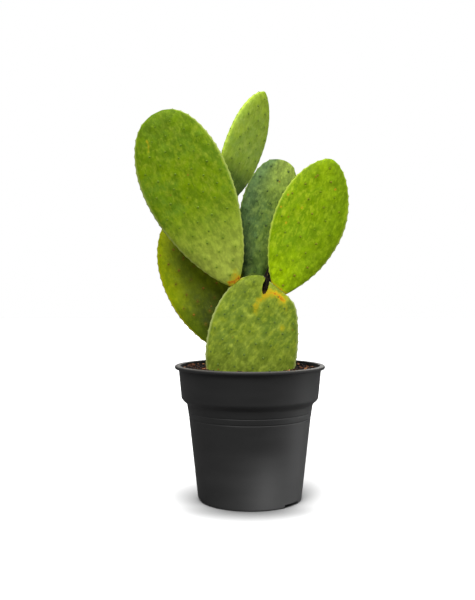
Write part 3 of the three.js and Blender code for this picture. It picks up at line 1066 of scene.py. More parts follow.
@dataclass
class Pad:
    """One flattened stem segment: an outline that tapers to a neck, with areoles."""

    name: str
    neck: Triple
    length: float
    width: float
    thickness: float
    bare: float  # mm along the pad that carry no areoles
    lean: float  # degrees, backwards
    tilt: float  # degrees, to the right
    turn: float  # degrees, round its own axis
    neck_taper: float
    tip_taper: float
    bow: float  # mm, how far its middle stands to the right of its ends
    curl: float  # mm, how far its middle stands behind its ends
    skin: WaxySkin
    felt: AreoleFelt
    slot: str
    slope: float = 0.0  # share of its length over which its right side is cut away
    parent: "Pad | None" = None
    scars: tuple[Scar, ...] = ()
    notch: Notch | None = None
    joint_cork: float = 0.6  # strength of the corky ring at the neck
    joint_reach: float = 4.0  # mm
    joint_share: Pair = (0.75, 0.35)  # the ring's plain strength, and how much crumbs add to it
    joint_crumb: float = 4.0  # mm
    scar_facing: Pair = (-0.25, 0.05)  # how far skin faces forwards where scars start, are full
    shade_facing: Pair = (-0.3, 0.35)  # the same for the shade
    scallop_span: Pair = (0.2, 0.9)  # of the rim's mask, where the scallops start and are full
    relief_span: Pair = (-8.0, 10.0)  # mm past the bare part, where relief starts and is full
    rim_span: Pair = (0.94, 0.998)  # of half the width, where the rim starts and is full
    net_height: float = 0.25  # mm, as all the sizes from here to the grain are
    net_reach: float = 3.4
    net_patch: float = 12.0  # of the places where the net is fainter or stronger
    net_share: Pair = (0.5, 0.8)  # its plain strength, and how much those places add to it
    halo_reach: float = 2.1  # of the darker green round an areole
    tubercle: float = 0.75  # the low mound under each areole
    tubercle_reach: float = 5.5
    dimple: float = 0.3  # the dip in the mound's top
    dimple_reach: float = 1.8
    scallop: float = 0.6  # bumps of the rim at its areoles
    scallop_reach: float = 3.0
    swell: Pair = (0.7, 38.0)  # height and length of the faces' slow undulation
    grain: Pair = (0.12, 6.0)  # height and length of their small one
    roundness: float = 0.8
    thickness_taper: float = 0.6
    sides: int = 192
    rings: int = 150
    crowding: float = 0.6  # how much closer the rings lie near the ends
    row: float = 14.0
    column: float = 19.0
    columns: int = 5
    rim_step: float = 9.0
    margin: float = 6.0
    last: float = 0.985  # share of the pad's length where its areoles end
    jitter: float = 1.6
    tree: BVHTree | None = None

    @property
    def node(self) -> str:
        """The name of the part's node that this pad stands for."""
        return self.name.removesuffix("_skin")

    @property
    def seed(self) -> int:
        """The seed of all that is drawn at random for this pad."""
        return sum(map(ord, self.name))

    def placement(self) -> Matrix:
        """The pad's frame in the plant's, in metres."""
        turns = ((self.tilt, "Y"), (self.lean, "X"), (self.turn, "Z"))
        tilted, leant, turned = (Matrix.Rotation(math.radians(a), 4, axis) for a, axis in turns)
        return Matrix.Translation(Vector(self.neck) * MM) @ (tilted @ leant @ turned)

    def axis(self) -> Vector:
        """The way from the pad's neck to its tip, in the plant's frame."""
        return (self.placement().to_3x3() @ Vector((0.0, 0.0, 1.0))).normalized()

    def in_plant(self, points: Array) -> Array:
        """Moves points from the pad's frame to the plant's."""
        place = np.array(self.placement())
        return points @ place[:3, :3].T + place[:3, 3]

    def half_width(self, t: Array) -> Array:
        """Half the outline's width at t, from 0 at the neck to 1 at the tip, in mm.

        Args:
            t: Places along the pad.

        Returns:
            Half its width at each.
        """
        widest = self.neck_taper / (self.neck_taper + self.tip_taper)
        rise = (t / widest) ** self.neck_taper
        fall = ((1 - t) / (1 - widest)) ** self.tip_taper
        return self.width / 2 * rise * fall

    def edges(self, t: Array) -> tuple[Array, Array]:
        """The outline's left and right edges at t, in mm from the pad's axis.

        Args:
            t: Places along the pad, from 0 to 1.

        Returns:
            The left edges and the right ones.
        """
        half = self.half_width(t)
        along = np.maximum(0.0, (t - 1 + self.slope) / self.slope) if self.slope else 0.0 * t
        middle = self.bow * np.sin(np.pi * t)
        return middle - half, middle + half * (1 - along * along)

    def rounded(self, value: Array) -> Array:
        """Turns a sine into the rounded slab's."""
        return np.sign(value) * np.abs(value) ** self.roundness

    def surface(self, t: Array, angle: Array) -> Array:
        """Points of the bare surface, in metres in the pad's frame.

        Args:
            t: Places along the pad, from 0 to 1.
            angle: Angles round its section.

        Returns:
            One point a row.
        """
        left, right = self.edges(t)
        share = self.half_width(t) / (self.width / 2)
        depth = self.thickness / 2 * share**self.thickness_taper
        x = (left + right) / 2 + (right - left) / 2 * self.rounded(np.cos(angle))
        y = self.curl * np.sin(np.pi * t) + depth * self.rounded(np.sin(angle))
        return np.stack([x, y, t * self.length], axis=-1) * MM

    def outward(self, t: Array, angle: Array, step: float = 0.004) -> Array:
        """Outward directions of the bare surface, from its points a small step to each side.

        Args:
            t: Places along the pad, from 0 to 1.
            angle: Angles round its section.
            step: The step, along the pad and round it.

        Returns:
            One direction a row.
        """
        t = np.clip(t, 2 * step, 1 - 2 * step)
        up = self.surface(t + step, angle) - self.surface(t - step, angle)
        around = self.surface(t, angle + step) - self.surface(t, angle - step)
        normal = np.cross(around, up)
        return normal / np.maximum(np.linalg.norm(normal, axis=-1, keepdims=True), 1e-12)

    def face_areoles(self, random: np.random.Generator) -> list[Triple]:
        """Areoles of both faces, in loose staggered rows that stop short of the rim.

        Args:
            random: The source of their small shifts.

        Returns:
            Each areole's place along the pad, its angle and 0, as it isn't on the rim.
        """
        found = []
        for number, z in enumerate(np.arange(self.bare, self.length - self.margin, self.row)):
            for column in range(-self.columns, self.columns + 1):
                for face in Face:
                    move = random.uniform(-self.jitter, self.jitter, 2)
                    t = float(np.clip((z + move[0]) / self.length, 0.02, self.last))
                    left, right = (float(edge) for edge in self.edges(np.array(t)))
                    middle, half = (left + right) / 2, (right - left) / 2
                    across = (column + number % 2 / 2) * self.column + move[1]
                    if abs(across - middle) < half - self.margin:
                        share = (across - middle) / half
                        flat = math.copysign(abs(share) ** (1 / self.roundness), share)
                        found.append((t, face.value * math.acos(flat), 0.0))
        return found

    def rim_areoles(self, edge: Edge) -> list[Triple]:
        """Areoles along one side of the rim, evenly spaced.

        Args:
            edge: The side.

        Returns:
            Each areole's place along the pad, its angle and 1, as it is on the rim.
        """
        t = np.linspace(self.bare / self.length, self.last, 600)
        points = self.surface(t, np.full_like(t, edge.value))
        walked = np.cumsum(np.linalg.norm(np.diff(points, axis=0), axis=1)) / MM
        stops = np.arange(self.rim_step, walked[-1], self.rim_step)
        return [(float(place), edge.value, 1.0) for place in np.interp(stops, walked, t[1:])]

    def build(self) -> list[Piece]:
        """Builds the pad's skin and its areoles, and dresses both.

        Returns:
            The two pieces.
        """
        areoles = self.face_areoles(np.random.default_rng(self.seed))
        for edge in Edge:
            areoles += self.rim_areoles(edge)
        t, angle, on_rim = np.array(areoles).T
        skin = self.make_skin(self.surface(t, angle), on_rim)
        return [skin, self.make_areoles(t, angle, on_rim)]

    def grid(self) -> tuple[Array, Array]:
        """Places along the pad and angles round it for every point of the skin.

        Returns:
            The places, from 0 to 1, and the angles.
        """
        polar = np.linspace(0, np.pi, self.rings + 2)
        along = (polar - self.crowding * np.sin(2 * polar) / 2) / np.pi
        angles = np.arange(self.sides) / self.sides * 2 * np.pi
        t = np.concatenate([[0.0], np.repeat(along[1:-1], self.sides), [1.0]])
        return t, np.concatenate([[0.0], np.tile(angles, self.rings), [0.0]])

    def make_skin(self, seats: Array, on_rim: Array) -> Piece:
        """Builds the skin with its relief and the masks that its finish reads.

        Args:
            seats: Where the areoles sit, in the pad's frame.
            on_rim: 1 for an areole on the rim and 0 for one on a face.

        Returns:
            The dressed skin.
        """
        t, angle = self.grid()
        bare = self.surface(t, angle)
        near, gap, rim_near = nearest_seats(bare, seats, on_rim)
        shown = ease(t * self.length - self.bare, *self.relief_span)
        across, forward = self.rounded(np.cos(angle)), -np.sin(angle)
        rim = ease(np.abs(across), *self.rim_span)
        net = bell(gap, self.net_reach) * (1 - rim)
        plain, added = self.net_share
        net *= plain + added * ripple(bare, self.net_patch, seed=3.1, octaves=2)
        relief = (
            self.net_height * net
            + self.tubercle * bell(near, self.tubercle_reach) * (1 - rim)
            - self.dimple * bell(near, self.dimple_reach) * (1 - rim)
            + self.scallop * bell(rim_near, self.scallop_reach) * ease(rim, *self.scallop_span)
            + self.swell[0] * ripple(bare, self.swell[1], seed=self.length, octaves=1)
            + self.grain[0] * ripple(bare, self.grain[1], seed=2.0, octaves=2)
        )
        surface = bare + self.outward(t, angle) * (relief * shown)[:, None] * MM
        points, joint = self.trim(self.in_plant(surface))
        faces = lathe_faces(self.rings, self.sides)
        piece = mesh_object(self.name, points, faces)
        cork = self.joint_cork * bell(joint, self.joint_reach)
        plain, added = self.joint_share
        cork *= plain + added * ripple(bare, self.joint_crumb, seed=5.0, octaves=2)
        for scar in self.scars:
            cork = np.maximum(cork, scar.mask(points) * ease(forward, *self.scar_facing))
        shade = ease(0.5 + 0.5 * across, *self.skin.shade_span)
        shade *= ease(forward, *self.shade_facing)
        halo = bell(near, self.halo_reach)
        masks = {"along": t, "shade": shade, "net": net, "areole": halo, "rim": rim, "cork": cork}
        if self.notch is not None:
            masks, bare = self.bite(self.notch, piece, points, masks, bare)
        for name, values in masks.items():
            store(piece.data, name, np.clip(values, 0.0, 1.0))
        store(piece.data, "place", bare)
        piece.data.materials.append(self.skin.material())
        self.tree = BVHTree.FromPolygons([Vector(point) for point in points], faces)
        return dress(piece, self.node)

    def bite(
        self, notch: Notch, piece: Piece, points: Array, masks: dict[str, Array], bare: Array
    ) -> tuple[dict[str, Array], Array]:
        """Takes the notch out of the skin, and gives the cut its masks.

        Args:
            notch: The notch.
            piece: The skin.
            points: The skin's points before the cut.
            masks: The masks of those points.
            bare: Their places in the pad's frame.

        Returns:
            The masks and the places of the points after the cut.
        """
        near = KDTree(len(points))
        for i, point in enumerate(points):
            near.insert(point, i)
        near.balance()
        carve(piece, notch.space())
        piece.data.set_sharp_from_angle(angle=math.radians(50))
        left = np.array([vertex.co for vertex in piece.data.vertices])
        source = np.array([near.find(point)[1] for point in left])
        kept = {name: values[source] for name, values in masks.items()}
        kept["cork"] = np.maximum(kept["cork"], notch.cork * notch.nearness(left))
        return kept, bare[source]

    def hidden_end(self, place: Vector, along: Vector) -> Vector | None:
        """Where a place inside the parent comes out of it along the pad, or None outside it."""
        hit, normal, _, _ = self.parent.tree.ray_cast(place, along)
        return hit if hit is not None and normal.dot(along) > 0 else None

    def trim(self, points: Array, reach: float = 20.0) -> tuple[Array, Array]:
        """Ends the pad at its parent's skin, so that its hidden end lies against it.

        Args:
            points: The skin's points in the plant's frame.
            reach: How near the parent's skin counts, in mm.

        Returns:
            The points, with the hidden ones brought to the parent's skin along the pad, and
            each point's distance in mm from that skin.
        """
        joint = np.full(len(points), FAR)
        if self.parent is None:
            return points, joint
        along = self.axis()
        trimmed = points.copy()
        for i, point in enumerate(points):
            near, _, _, gap = self.parent.tree.find_nearest(Vector(point), reach * MM)
            if near is None:
                continue
            joint[i] = gap / MM
            end = self.hidden_end(Vector(point), along)
            if end is not None:
                trimmed[i], joint[i] = end + along * CLEARANCE * MM, 0.0
        return trimmed, joint

    def make_areoles(self, t: Array, angle: Array, on_rim: Array) -> Piece:
        """Plants the areoles' felt and hairs on the skin that shows.

        Args:
            t: Each areole's place along the pad.
            angle: Its angle round the section.
            on_rim: 1 for one on the rim and 0 for one on a face.

        Returns:
            The dressed areoles.
        """
        seats = self.in_plant(self.surface(t, angle))
        turned = self.outward(t, angle) @ np.array(self.placement().to_3x3()).T
        bitten = self.notch.nearness(seats) if self.notch else np.zeros(len(seats))
        kept = [i for i, seat in enumerate(seats) if self.is_outside(seat) and not bitten[i]]
        mesh = bpy.data.meshes.new(self.name + "_areoles")
        mesh.from_pydata(self.on_skin(seats[kept], turned[kept]).tolist(), [], [])
        piece = place_object(mesh.name, mesh)
        store(mesh, "facing", turned[kept])
        store(mesh, "on_rim", on_rim[kept])
        Areoles().cover(piece, self.felt.material(), self.seed)
        return dress(piece, self.node)

    def is_outside(self, seat: Array, reach: float = 3.5) -> bool:
        """Whether an areole's seat is clear of the parent, by a reach in mm.

        Args:
            seat: The seat, in the plant's frame.
            reach: How far it has to be from the parent.

        Returns:
            Whether it is.
        """
        if self.parent is None:
            return True
        place = Vector(seat)
        if self.hidden_end(place, self.axis()) is not None:
            return False
        return self.parent.tree.find_nearest(place, reach * MM)[0] is None

    def on_skin(self, seats: Array, facing: Array, reach: float = 4.0) -> Array:
        """Moves the seats along their directions to the finished skin.

        Args:
            seats: The seats, in the plant's frame.
            facing: The direction outwards at each.
            reach: How far they may move, in mm.

        Returns:
            The moved seats.
        """
        moved = seats.copy()
        for i, (seat, way) in enumerate(zip(seats, facing)):
            start = Vector(seat) + Vector(way) * reach * MM
            hit = self.tree.ray_cast(start, -Vector(way), 2 * reach * MM)[0]
            if hit is not None:
                moved[i] = hit
        return moved


def nearest_seats(
    points: Array, seats: Array, on_rim: Array, bend: Pair = (4.0, 24.0), batch: int = 4000
) -> tuple[Array, Array, Array]:
    """How the areoles lie round each point of a pad.

    Args:
        points: The skin's points, in the pad's frame.
        seats: The areoles' seats there.
        on_rim: 1 for a seat on the rim.
        bend: How far the net's lines wander, and over what length, in mm.
        batch: How many points are worked on at a time.

    Returns:
        For each point, in mm, the distance to the nearest face areole, how much further the
        next one is, and the distance to the nearest rim areole.
    """
    # Depth counts three times, so that the areoles of the other face are far away.
    weights = np.array([1.0, 3.0, 1.0])
    far, size = bend
    warp = np.stack([ripple(points, size, seed=s, octaves=1) for s in (1.7, 5.9, 9.2)], axis=1)
    warped = points + warp * np.array([far, 0.0, far]) * MM
    face, rim = seats[on_rim == 0], seats[on_rim == 1]
    found = []
    for start in range(0, len(points), batch):
        part, bent = points[start : start + batch], warped[start : start + batch]
        sets = ((part, face, weights), (bent, face, weights), (part, rim, 1.0))
        plain, to_face, to_rim = (
            np.linalg.norm((some[:, None] - others[None]) * scale, axis=2) / MM
            for some, others, scale in sets
        )
        closest = np.partition(to_face, 1, axis=1)[:, :2]
        found.append([plain.min(axis=1), closest[:, 1] - closest[:, 0], to_rim.min(axis=1)])
    near, gap, rim_near = (np.concatenate(values) for values in zip(*found))
    return near, gap, rim_near


@dataclass(frozen=True)
class Areoles:
    """Felt cushions with short barbed hairs, one on each seat."""

    radius: float = 1.15
    proud: float = 0.6
    hair_length: float = 1.3
    hair_width: float = 0.12
    size_range: Pair = (0.65, 1.1)
    rim_change: float = -0.4  # how much smaller the rim's cushions are
    hair_from: float = 0.2  # how far up the cushion, as a share of its normals, hairs start
    tone_spread: float = 0.4

    def cover(self, seats: Piece, finish: Material, seed: int) -> None:
        """Grows a cushion on every point of an object.

        Args:
            seats: The object whose points are the seats.
            finish: The felt's material.
            seed: The seed of their sizes, turns and tones.
        """
        inputs = {
            "Cushion Radius": self.radius * MM,
            "Cushion Height": self.proud * MM,
            "Hair Length": self.hair_length * MM,
            "Hair Width": self.hair_width * MM,
            "Smallest": self.size_range[0],
            "Largest": self.size_range[1],
            "Rim Change": self.rim_change,
            "Hair From": self.hair_from,
            "Tone Spread": self.tone_spread,
            "Seed": seed,
            "Finish": finish,
        }
        grow(seats, "areole_cushions", inputs, self.plant)

    def plant(self, put: Put, given: Any) -> Socket:
        """Sets a cushion and its tuft of hairs on each point, along "facing".

        Args:
            put: The call that adds a node.
            given: The tree's inputs.

        Returns:
            The areoles.
        """
        upright = {"axis": "Z"}
        number = {"data_type": "FLOAT"}
        wide, high = given["Cushion Radius"], given["Cushion Height"]
        ball = put("GeometryNodeMeshUVSphere", {"Segments": 8, "Rings": 4, "Radius": 1.0})
        shape = put("CombineXYZ", (wide, wide, high))
        cushion = put("GeometryNodeTransform", {"Geometry": ball, "Scale": shape})
        felt = put("GeometryNodeSetShadeSmooth", (cushion,))
        roots = put("GeometryNodeMeshIcoSphere", {"Radius": high, "Subdivisions": 1})
        cone = {"Radius Bottom": given["Hair Width"], "Depth": given["Hair Length"]}
        cone = {"Vertices": 3, "Radius Top": 0.0, **cone}
        hair = put("GeometryNodeMeshCone", cone, fill_type="NGON")
        outwards = put("GeometryNodeInputNormal")
        feeds = (put("SeparateXYZ", (outwards,), "Z"), given["Hair From"])
        upper = put("FunctionNodeCompare", feeds, operation="GREATER_THAN", **number)
        splay = put("FunctionNodeAlignRotationToVector", {"Vector": outwards}, **upright)
        feeds = {"Points": roots, "Selection": upper, "Instance": hair, "Rotation": splay}
        tuft = put("GeometryNodeInstanceOnPoints", feeds)
        areole = put("GeometryNodeJoinGeometry", ([felt, tuft],))
        facing, rim = (
            put("GeometryNodeInputNamedAttribute", {"Name": name}, data_type=kind)
            for name, kind in (("facing", "FLOAT_VECTOR"), ("on_rim", "FLOAT"))
        )
        stood = put("FunctionNodeAlignRotationToVector", {"Vector": facing}, **upright)
        spin, size, drawn = (
            put("FunctionNodeRandomValue", {2: low, 3: most, "Seed": given["Seed"]}, 1, **number)
            for low, most in (
                (0.0, math.tau), (given["Smallest"], given["Largest"]), (0.0, given["Tone Spread"])
            )
        )
        feeds = {"Axis": (0.0, 0.0, 1.0), "Angle": spin}
        about = put("FunctionNodeAxisAngleToRotation", feeds)
        feeds = {"Rotation": stood, "Rotate By": about}
        turned = put("FunctionNodeRotateRotation", feeds, rotation_space="LOCAL")
        smaller = put("Math", (rim, given["Rim Change"], 1.0), operation="MULTIPLY_ADD")
        scale = put("Math", (size, smaller), operation="MULTIPLY")
        feeds = {"Points": given["Geometry"], "Instance": areole, "Rotation": turned}
        planted = put("GeometryNodeInstanceOnPoints", {**feeds, "Scale": scale})
        tone = put("Math", (rim, 1.0, drawn), operation="MULTIPLY_ADD")
        feeds = {"Geometry": planted, "Name": "tone", "Value": tone}
        toned = put("GeometryNodeStoreNamedAttribute", feeds, domain="INSTANCE", **number)
        return put("GeometryNodeRealizeInstances", (toned,))


# ---- the soil


@dataclass(frozen=True)
class Soil:
    """Potting mix that fills the pot: a lumpy bed with loose crumbs of bark on it."""

    pot: Pot
    edge_z: float = 146.0
    edge_depth: float = 2.5
    edge_reach: float = 6.0  # mm off the wall, within which the lumps die away
    back_rise: float = 3.0
    unevenness: float = 0.9
    waves: Triple = (0.21, 0.17, 0.11)  # per mm, of the bed's slow unevenness
    wave_start: float = 1.3  # radians, where in its wave the first of them starts
    front_hollow: float = 2.4  # mm, how far the bed sinks in front of the stem
    hollow_reach: float = 42.0  # mm, half the hollow's width
    hollow_span: Pair = (-8.0, 16.0)  # mm to the front, where it starts and is full
    top_from: float = 0.9  # of its edge's height, above which a point is on top of the bed
    lump: Pair = (0.9, 7.0)  # mm, height and size of the small lumps
    bed_tone: float = 0.3  # where the bed's own brown lies between peat and bark
    crumb: Pair = (0.9, 2.8)  # mm, the smallest and largest radius of a crumb
    room: Pair = (1.4, 0.6)  # how many of the smallest fit to the stem, of the largest to the wall
    rareness: float = 3.0  # above 1, there are fewer large crumbs than small ones
    stretch: tuple[Triple, Triple] = ((0.8, 0.5, 0.35), (1.3, 1.0, 0.75))  # least and most
    turns: tuple[Triple, Triple] = ((-0.5, -0.5, 0.0), (0.5, 0.5, math.tau))  # radians
    spacing: float = 1.9  # mm, the least distance between crumbs
    density: float = 4e5  # per square metre, so many that the spacing alone sets the number
    dent: Pair = (1.8, 2.0)  # mm, depth and size of a crumb's dents
    tones: Pair = (0.1, 0.95)  # of the crumbs
    sides: int = 180
    rings: int = 60
    seed: int = 23
    tone_seed: int = 5

    def height(self, x: Array, y: Array) -> Array:
        """The bed's height at a place, all in mm.

        Args:
            x: Places across.
            y: Places along, backwards.

        Returns:
            The height at each.
        """
        backwards = self.back_rise * y / (2 * self.pot.radius(self.edge_z))
        a, b, c = self.waves
        waves = np.sin(x * a + self.wave_start) * np.cos(y * b) + np.sin((x - y) * c)
        in_front = np.exp(-((x / self.hollow_reach) ** 4)) * ease(-y, *self.hollow_span)
        return self.edge_z + backwards + self.unevenness * waves - self.front_hollow * in_front

    def build(self, stem: Pad) -> list[Piece]:
        """Builds the bed round the stem and strews the crumbs on it.

        Args:
            stem: The pad that stands in the soil.

        Returns:
            The bed and the crumbs.
        """
        bed = self.make_bed()
        carve(bed, self.stem_space(stem))
        bed.data.materials.clear()
        bed.data.materials.append(PottingMix("damp_peat_bed").material())
        store(bed.data, "grain", np.full(len(bed.data.vertices), self.bed_tone))
        crumbs = place_object("soil_crumbs", bed.data.copy())
        self.mark_open_ground(crumbs.data, stem)
        inputs = {
            "Smallest": self.crumb[0] * MM,
            "Largest": self.crumb[1] * MM,
            "Spacing": self.spacing * MM,
            "Density": self.density,
            "Dent Depth": self.dent[0] * MM,
            "Dent Scale": 1 / (self.dent[1] * MM),
            "Darkest": self.tones[0],
            "Palest": self.tones[1],
            "Seed": self.seed,
            "Tone Seed": self.tone_seed,
            "Finish": PottingMix("bark_and_peat_crumbs").material(),
        }
        grow(crumbs, "strewn_crumbs", inputs, self.strew)
        return [dress(piece, "soil") for piece in (bed, crumbs)]

    def make_bed(self) -> Piece:
        """The closed bed: lumpy on top, and inside the pot's wall below.

        Returns:
            The bed.
        """
        top_radius = self.pot.radius(self.edge_z) - self.pot.wall - 2 * CLEARANCE
        angles = np.arange(self.sides) / self.sides * 2 * np.pi
        rows: list[Array] = []
        for radius in np.linspace(top_radius / self.rings, top_radius, self.rings):
            row = ring(angles, radius, 0.0)
            edge = min(1.0, (top_radius - radius) / self.edge_reach)
            lumps = self.lump[0] * ripple(row * MM, self.lump[1], seed=1.0, octaves=3) * edge
            row[:, 2] = self.height(row[:, 0], row[:, 1]) + lumps
            rows.append(row)
        rows.append(ring(angles, top_radius, self.edge_z - self.edge_depth))
        for corner in self.pot.inside()[1:-1]:
            rows.append(ring(angles, corner.radius - CLEARANCE, corner.z + CLEARANCE))
        centre = [0.0, 0.0, float(self.height(np.array(0.0), np.array(0.0)))]
        under = [0.0, 0.0, self.pot.floor + CLEARANCE]
        points = np.concatenate([[centre], *rows, [under]]) * MM
        return mesh_object("soil_bed", points, lathe_faces(len(rows), self.sides), smooth=False)

    def stem_space(self, stem: Pad) -> Piece:
        """The space of the stem in the soil, a little larger than the stem.

        Args:
            stem: The pad that stands in the soil.

        Returns:
            A closed tool for the cut.
        """
        t, angle = stem.grid()
        points = stem.surface(t, angle) + stem.outward(t, angle) * CLEARANCE * MM
        faces = lathe_faces(stem.rings, stem.sides)
        return mesh_object("stem_space", stem.in_plant(points), faces)

    def mark_open_ground(self, mesh: bpy.types.Mesh, stem: Pad) -> None:
        """Marks where crumbs may lie: on top, off the wall and clear of the stem.

        Args:
            mesh: The bed's mesh.
            stem: The pad that stands in the soil.
        """
        smallest, largest = self.crumb
        to_stem, to_wall = smallest * self.room[0] * MM, largest * self.room[1]
        limit = (self.pot.radius(self.edge_z) - self.pot.wall - to_wall) * MM
        open_ground = np.zeros(len(mesh.vertices))
        for i, vertex in enumerate(mesh.vertices):
            place = vertex.co
            on_top = place.z > self.top_from * self.edge_z * MM
            inside = math.hypot(place.x, place.y) < limit
            clear = stem.tree.find_nearest(place, to_stem)[0] is None
            open_ground[i] = float(on_top and inside and clear)
        store(mesh, "open_ground", open_ground)

    def strew(self, put: Put, given: Any) -> Socket:
        """Strews uneven crumbs where "open_ground" is 1.

        Args:
            put: The call that adds a node.
            given: The tree's inputs.

        Returns:
            The crumbs.
        """
        number, random = {"data_type": "FLOAT"}, "FunctionNodeRandomValue"
        ground = put("GeometryNodeInputNamedAttribute", {"Name": "open_ground"}, **number)
        on_open = put("FunctionNodeCompare", (ground, 0.9), operation="GREATER_THAN", **number)
        feeds = {"Mesh": given["Geometry"], "Selection": on_open, "Seed": given["Seed"]}
        feeds |= {"Distance Min": given["Spacing"], "Density Max": given["Density"]}
        spread = put("GeometryNodeDistributePointsOnFaces", feeds, distribute_method="POISSON")
        drawn = put(random, {2: 0.0, 3: 1.0, "Seed": given["Seed"]}, 1, **number)
        rarely = put("Math", (drawn, self.rareness), operation="POWER")
        size = put("MapRange", (rarely, 0.0, 1.0, given["Smallest"], given["Largest"]))
        flatness, turn = (
            put(random, {0: low, 1: high, "Seed": given["Seed"]}, data_type="FLOAT_VECTOR")
            for low, high in (self.stretch, self.turns)
        )
        scale = put("VectorMath", {0: flatness, "Scale": size}, operation="SCALE")
        chip = put("GeometryNodeMeshIcoSphere", {"Radius": 1.0, "Subdivisions": 1})
        feeds = {"Points": spread, "Instance": chip, "Rotation": turn, "Scale": scale}
        strewn = put("GeometryNodeInstanceOnPoints", feeds)
        feeds = {2: given["Darkest"], 3: given["Palest"], "Seed": given["Tone Seed"]}
        feeds = {"Geometry": strewn, "Name": "grain", "Value": put(random, feeds, 1, **number)}
        toned = put("GeometryNodeStoreNamedAttribute", feeds, domain="INSTANCE", **number)
        real = put("GeometryNodeRealizeInstances", (toned,))
        feeds = {"Vector": put("GeometryNodeInputPosition"), "Scale": given["Dent Scale"]}
        dents = put("TexNoise", {**feeds, "Detail": 1.0}, "Color")
        centred = put("VectorMath", (dents, (0.5, 0.5, 0.5)), operation="SUBTRACT")
        shift = put("VectorMath", {0: centred, "Scale": given["Dent Depth"]}, operation="SCALE")
        return put("GeometryNodeSetPosition", {"Geometry": real, "Offset": shift})


# ---- the studio


@dataclass(frozen=True)
class Lamp:
    """One soft lamp: its place and aim in metres, its size and its strength in watts."""

    name: str
    place: Triple
    aim: Triple
    size: Pair
    watts: float
    spread: float = 180.0  # degrees, how wide its light fans out

    def light(self) -> None:
        """Hangs the lamp."""
        data = bpy.data.lights.new(self.name, "AREA")
        data.shape = "RECTANGLE"
        data.size, data.size_y = self.size
        data.spread = math.radians(self.spread)
        self.hang(data)

    def hang(self, data: bpy.types.Light) -> None:
        """Gives a light its strength, puts it in its place and turns it to its aim.

        Args:
            data: The light.
        """
        data.energy = self.watts
        lamp = place_object(self.name, data)
        lamp.location = self.place
        way = Vector(self.aim) - Vector(self.place)
        lamp.rotation_euler = way.to_track_quat("-Z", "Y").to_euler()


@dataclass(frozen=True)
class Skylight(Lamp):
    """A far window or ceiling that lights the whole floor alike.

    Its watts are per square metre, its size isn't read, and its spread is how much of the sky
    it covers.
    """

    aim: Triple = (0.0, 0.0, 0.2)
    size: Pair = (1.0, 1.0)
    watts: float = 1.0

    def light(self) -> None:
        """Hangs the ceiling as one far, very soft light."""
        data = bpy.data.lights.new(self.name, "SUN")
        data.angle = math.radians(self.spread)
        self.hang(data)


@dataclass(frozen=True)
class Studio:
    """White floor, soft lamps, a pale surround and the camera at the photo's viewing angle."""

    floor_half: float = 6.0  # metres
    floor_drop: float = 0.1  # mm below the pot
    camera_place: Triple = (-0.014, -0.881, 0.2318)  # metres
    camera_up: float = -0.478  # degrees above the horizon
    lens: float = 46.58
    sensor: float = 36.0
    clip: Pair = (0.01, 50.0)  # metres
    surround: float = 0.2  # how strongly it lights the plant; it looks white
    lamps: tuple[Lamp, ...] = (
        Skylight("lit_ceiling", (0.0, 0.1, 2.0), watts=1.6, spread=60.0),
        Skylight("left_window", (-0.4, -1.0, 1.4), watts=2.8, spread=30.0),
        Skylight("right_window", (1.0, -0.8, 1.3), watts=1.4, spread=40.0),
        Lamp("low_card", (0.24, -0.38, 0.01), (0.0, 0.0, 0.01), (0.9, 0.02), 0.26, 18.0),
        Lamp("right_card", (0.56, 0.08, 0.07), (0.0, 0.0, 0.06), (0.4, 0.14), 0.1, 20.0),
        Skylight("rear_window", (0.3, 1.2, 0.9), watts=1.0, spread=40.0),
    )

    def build(self) -> None:
        """Lays the floor, sets the lamps and the surround, and places the camera."""
        low, high, z = -self.floor_half, self.floor_half, -self.floor_drop * MM
        corners = np.array([(low, low, z), (high, low, z), (high, high, z), (low, high, z)])
        floor = mesh_object("studio_floor", corners, [(0, 1, 2, 3)], smooth=False)
        floor.data.materials.append(StudioPaper().material())
        for lamp in self.lamps:
            lamp.light()
        self.set_surround()
        data = bpy.data.cameras.new("camera")
        data.lens, data.sensor_width = self.lens, self.sensor
        data.clip_start, data.clip_end = self.clip
        camera = place_object("camera", data)
        camera.location = self.camera_place
        camera.rotation_euler = Euler((math.radians(90 + self.camera_up), 0.0, 0.0))
        bpy.context.scene.camera = camera
        bpy.context.scene.view_settings.view_transform = "Standard"
        bpy.context.scene.view_settings.look = "None"

    def set_surround(self) -> None:
        """White behind the plant, and a dimmer white on it."""
        world = bpy.data.worlds.new("surround")
        world.use_nodes = True
        world.node_tree.nodes.clear()
        put = partial(add_node, world.node_tree)
        lit, seen = (
            put("Background", {"Color": (1, 1, 1, 1), "Strength": strength})
            for strength in (self.surround, 1.0)
        )
        mixed = put("MixShader", (put("LightPath", out="Is Camera Ray"), lit, seen))
        put("OutputWorld", {"Surface": mixed})
        bpy.context.scene.world = world


# ---- the plant


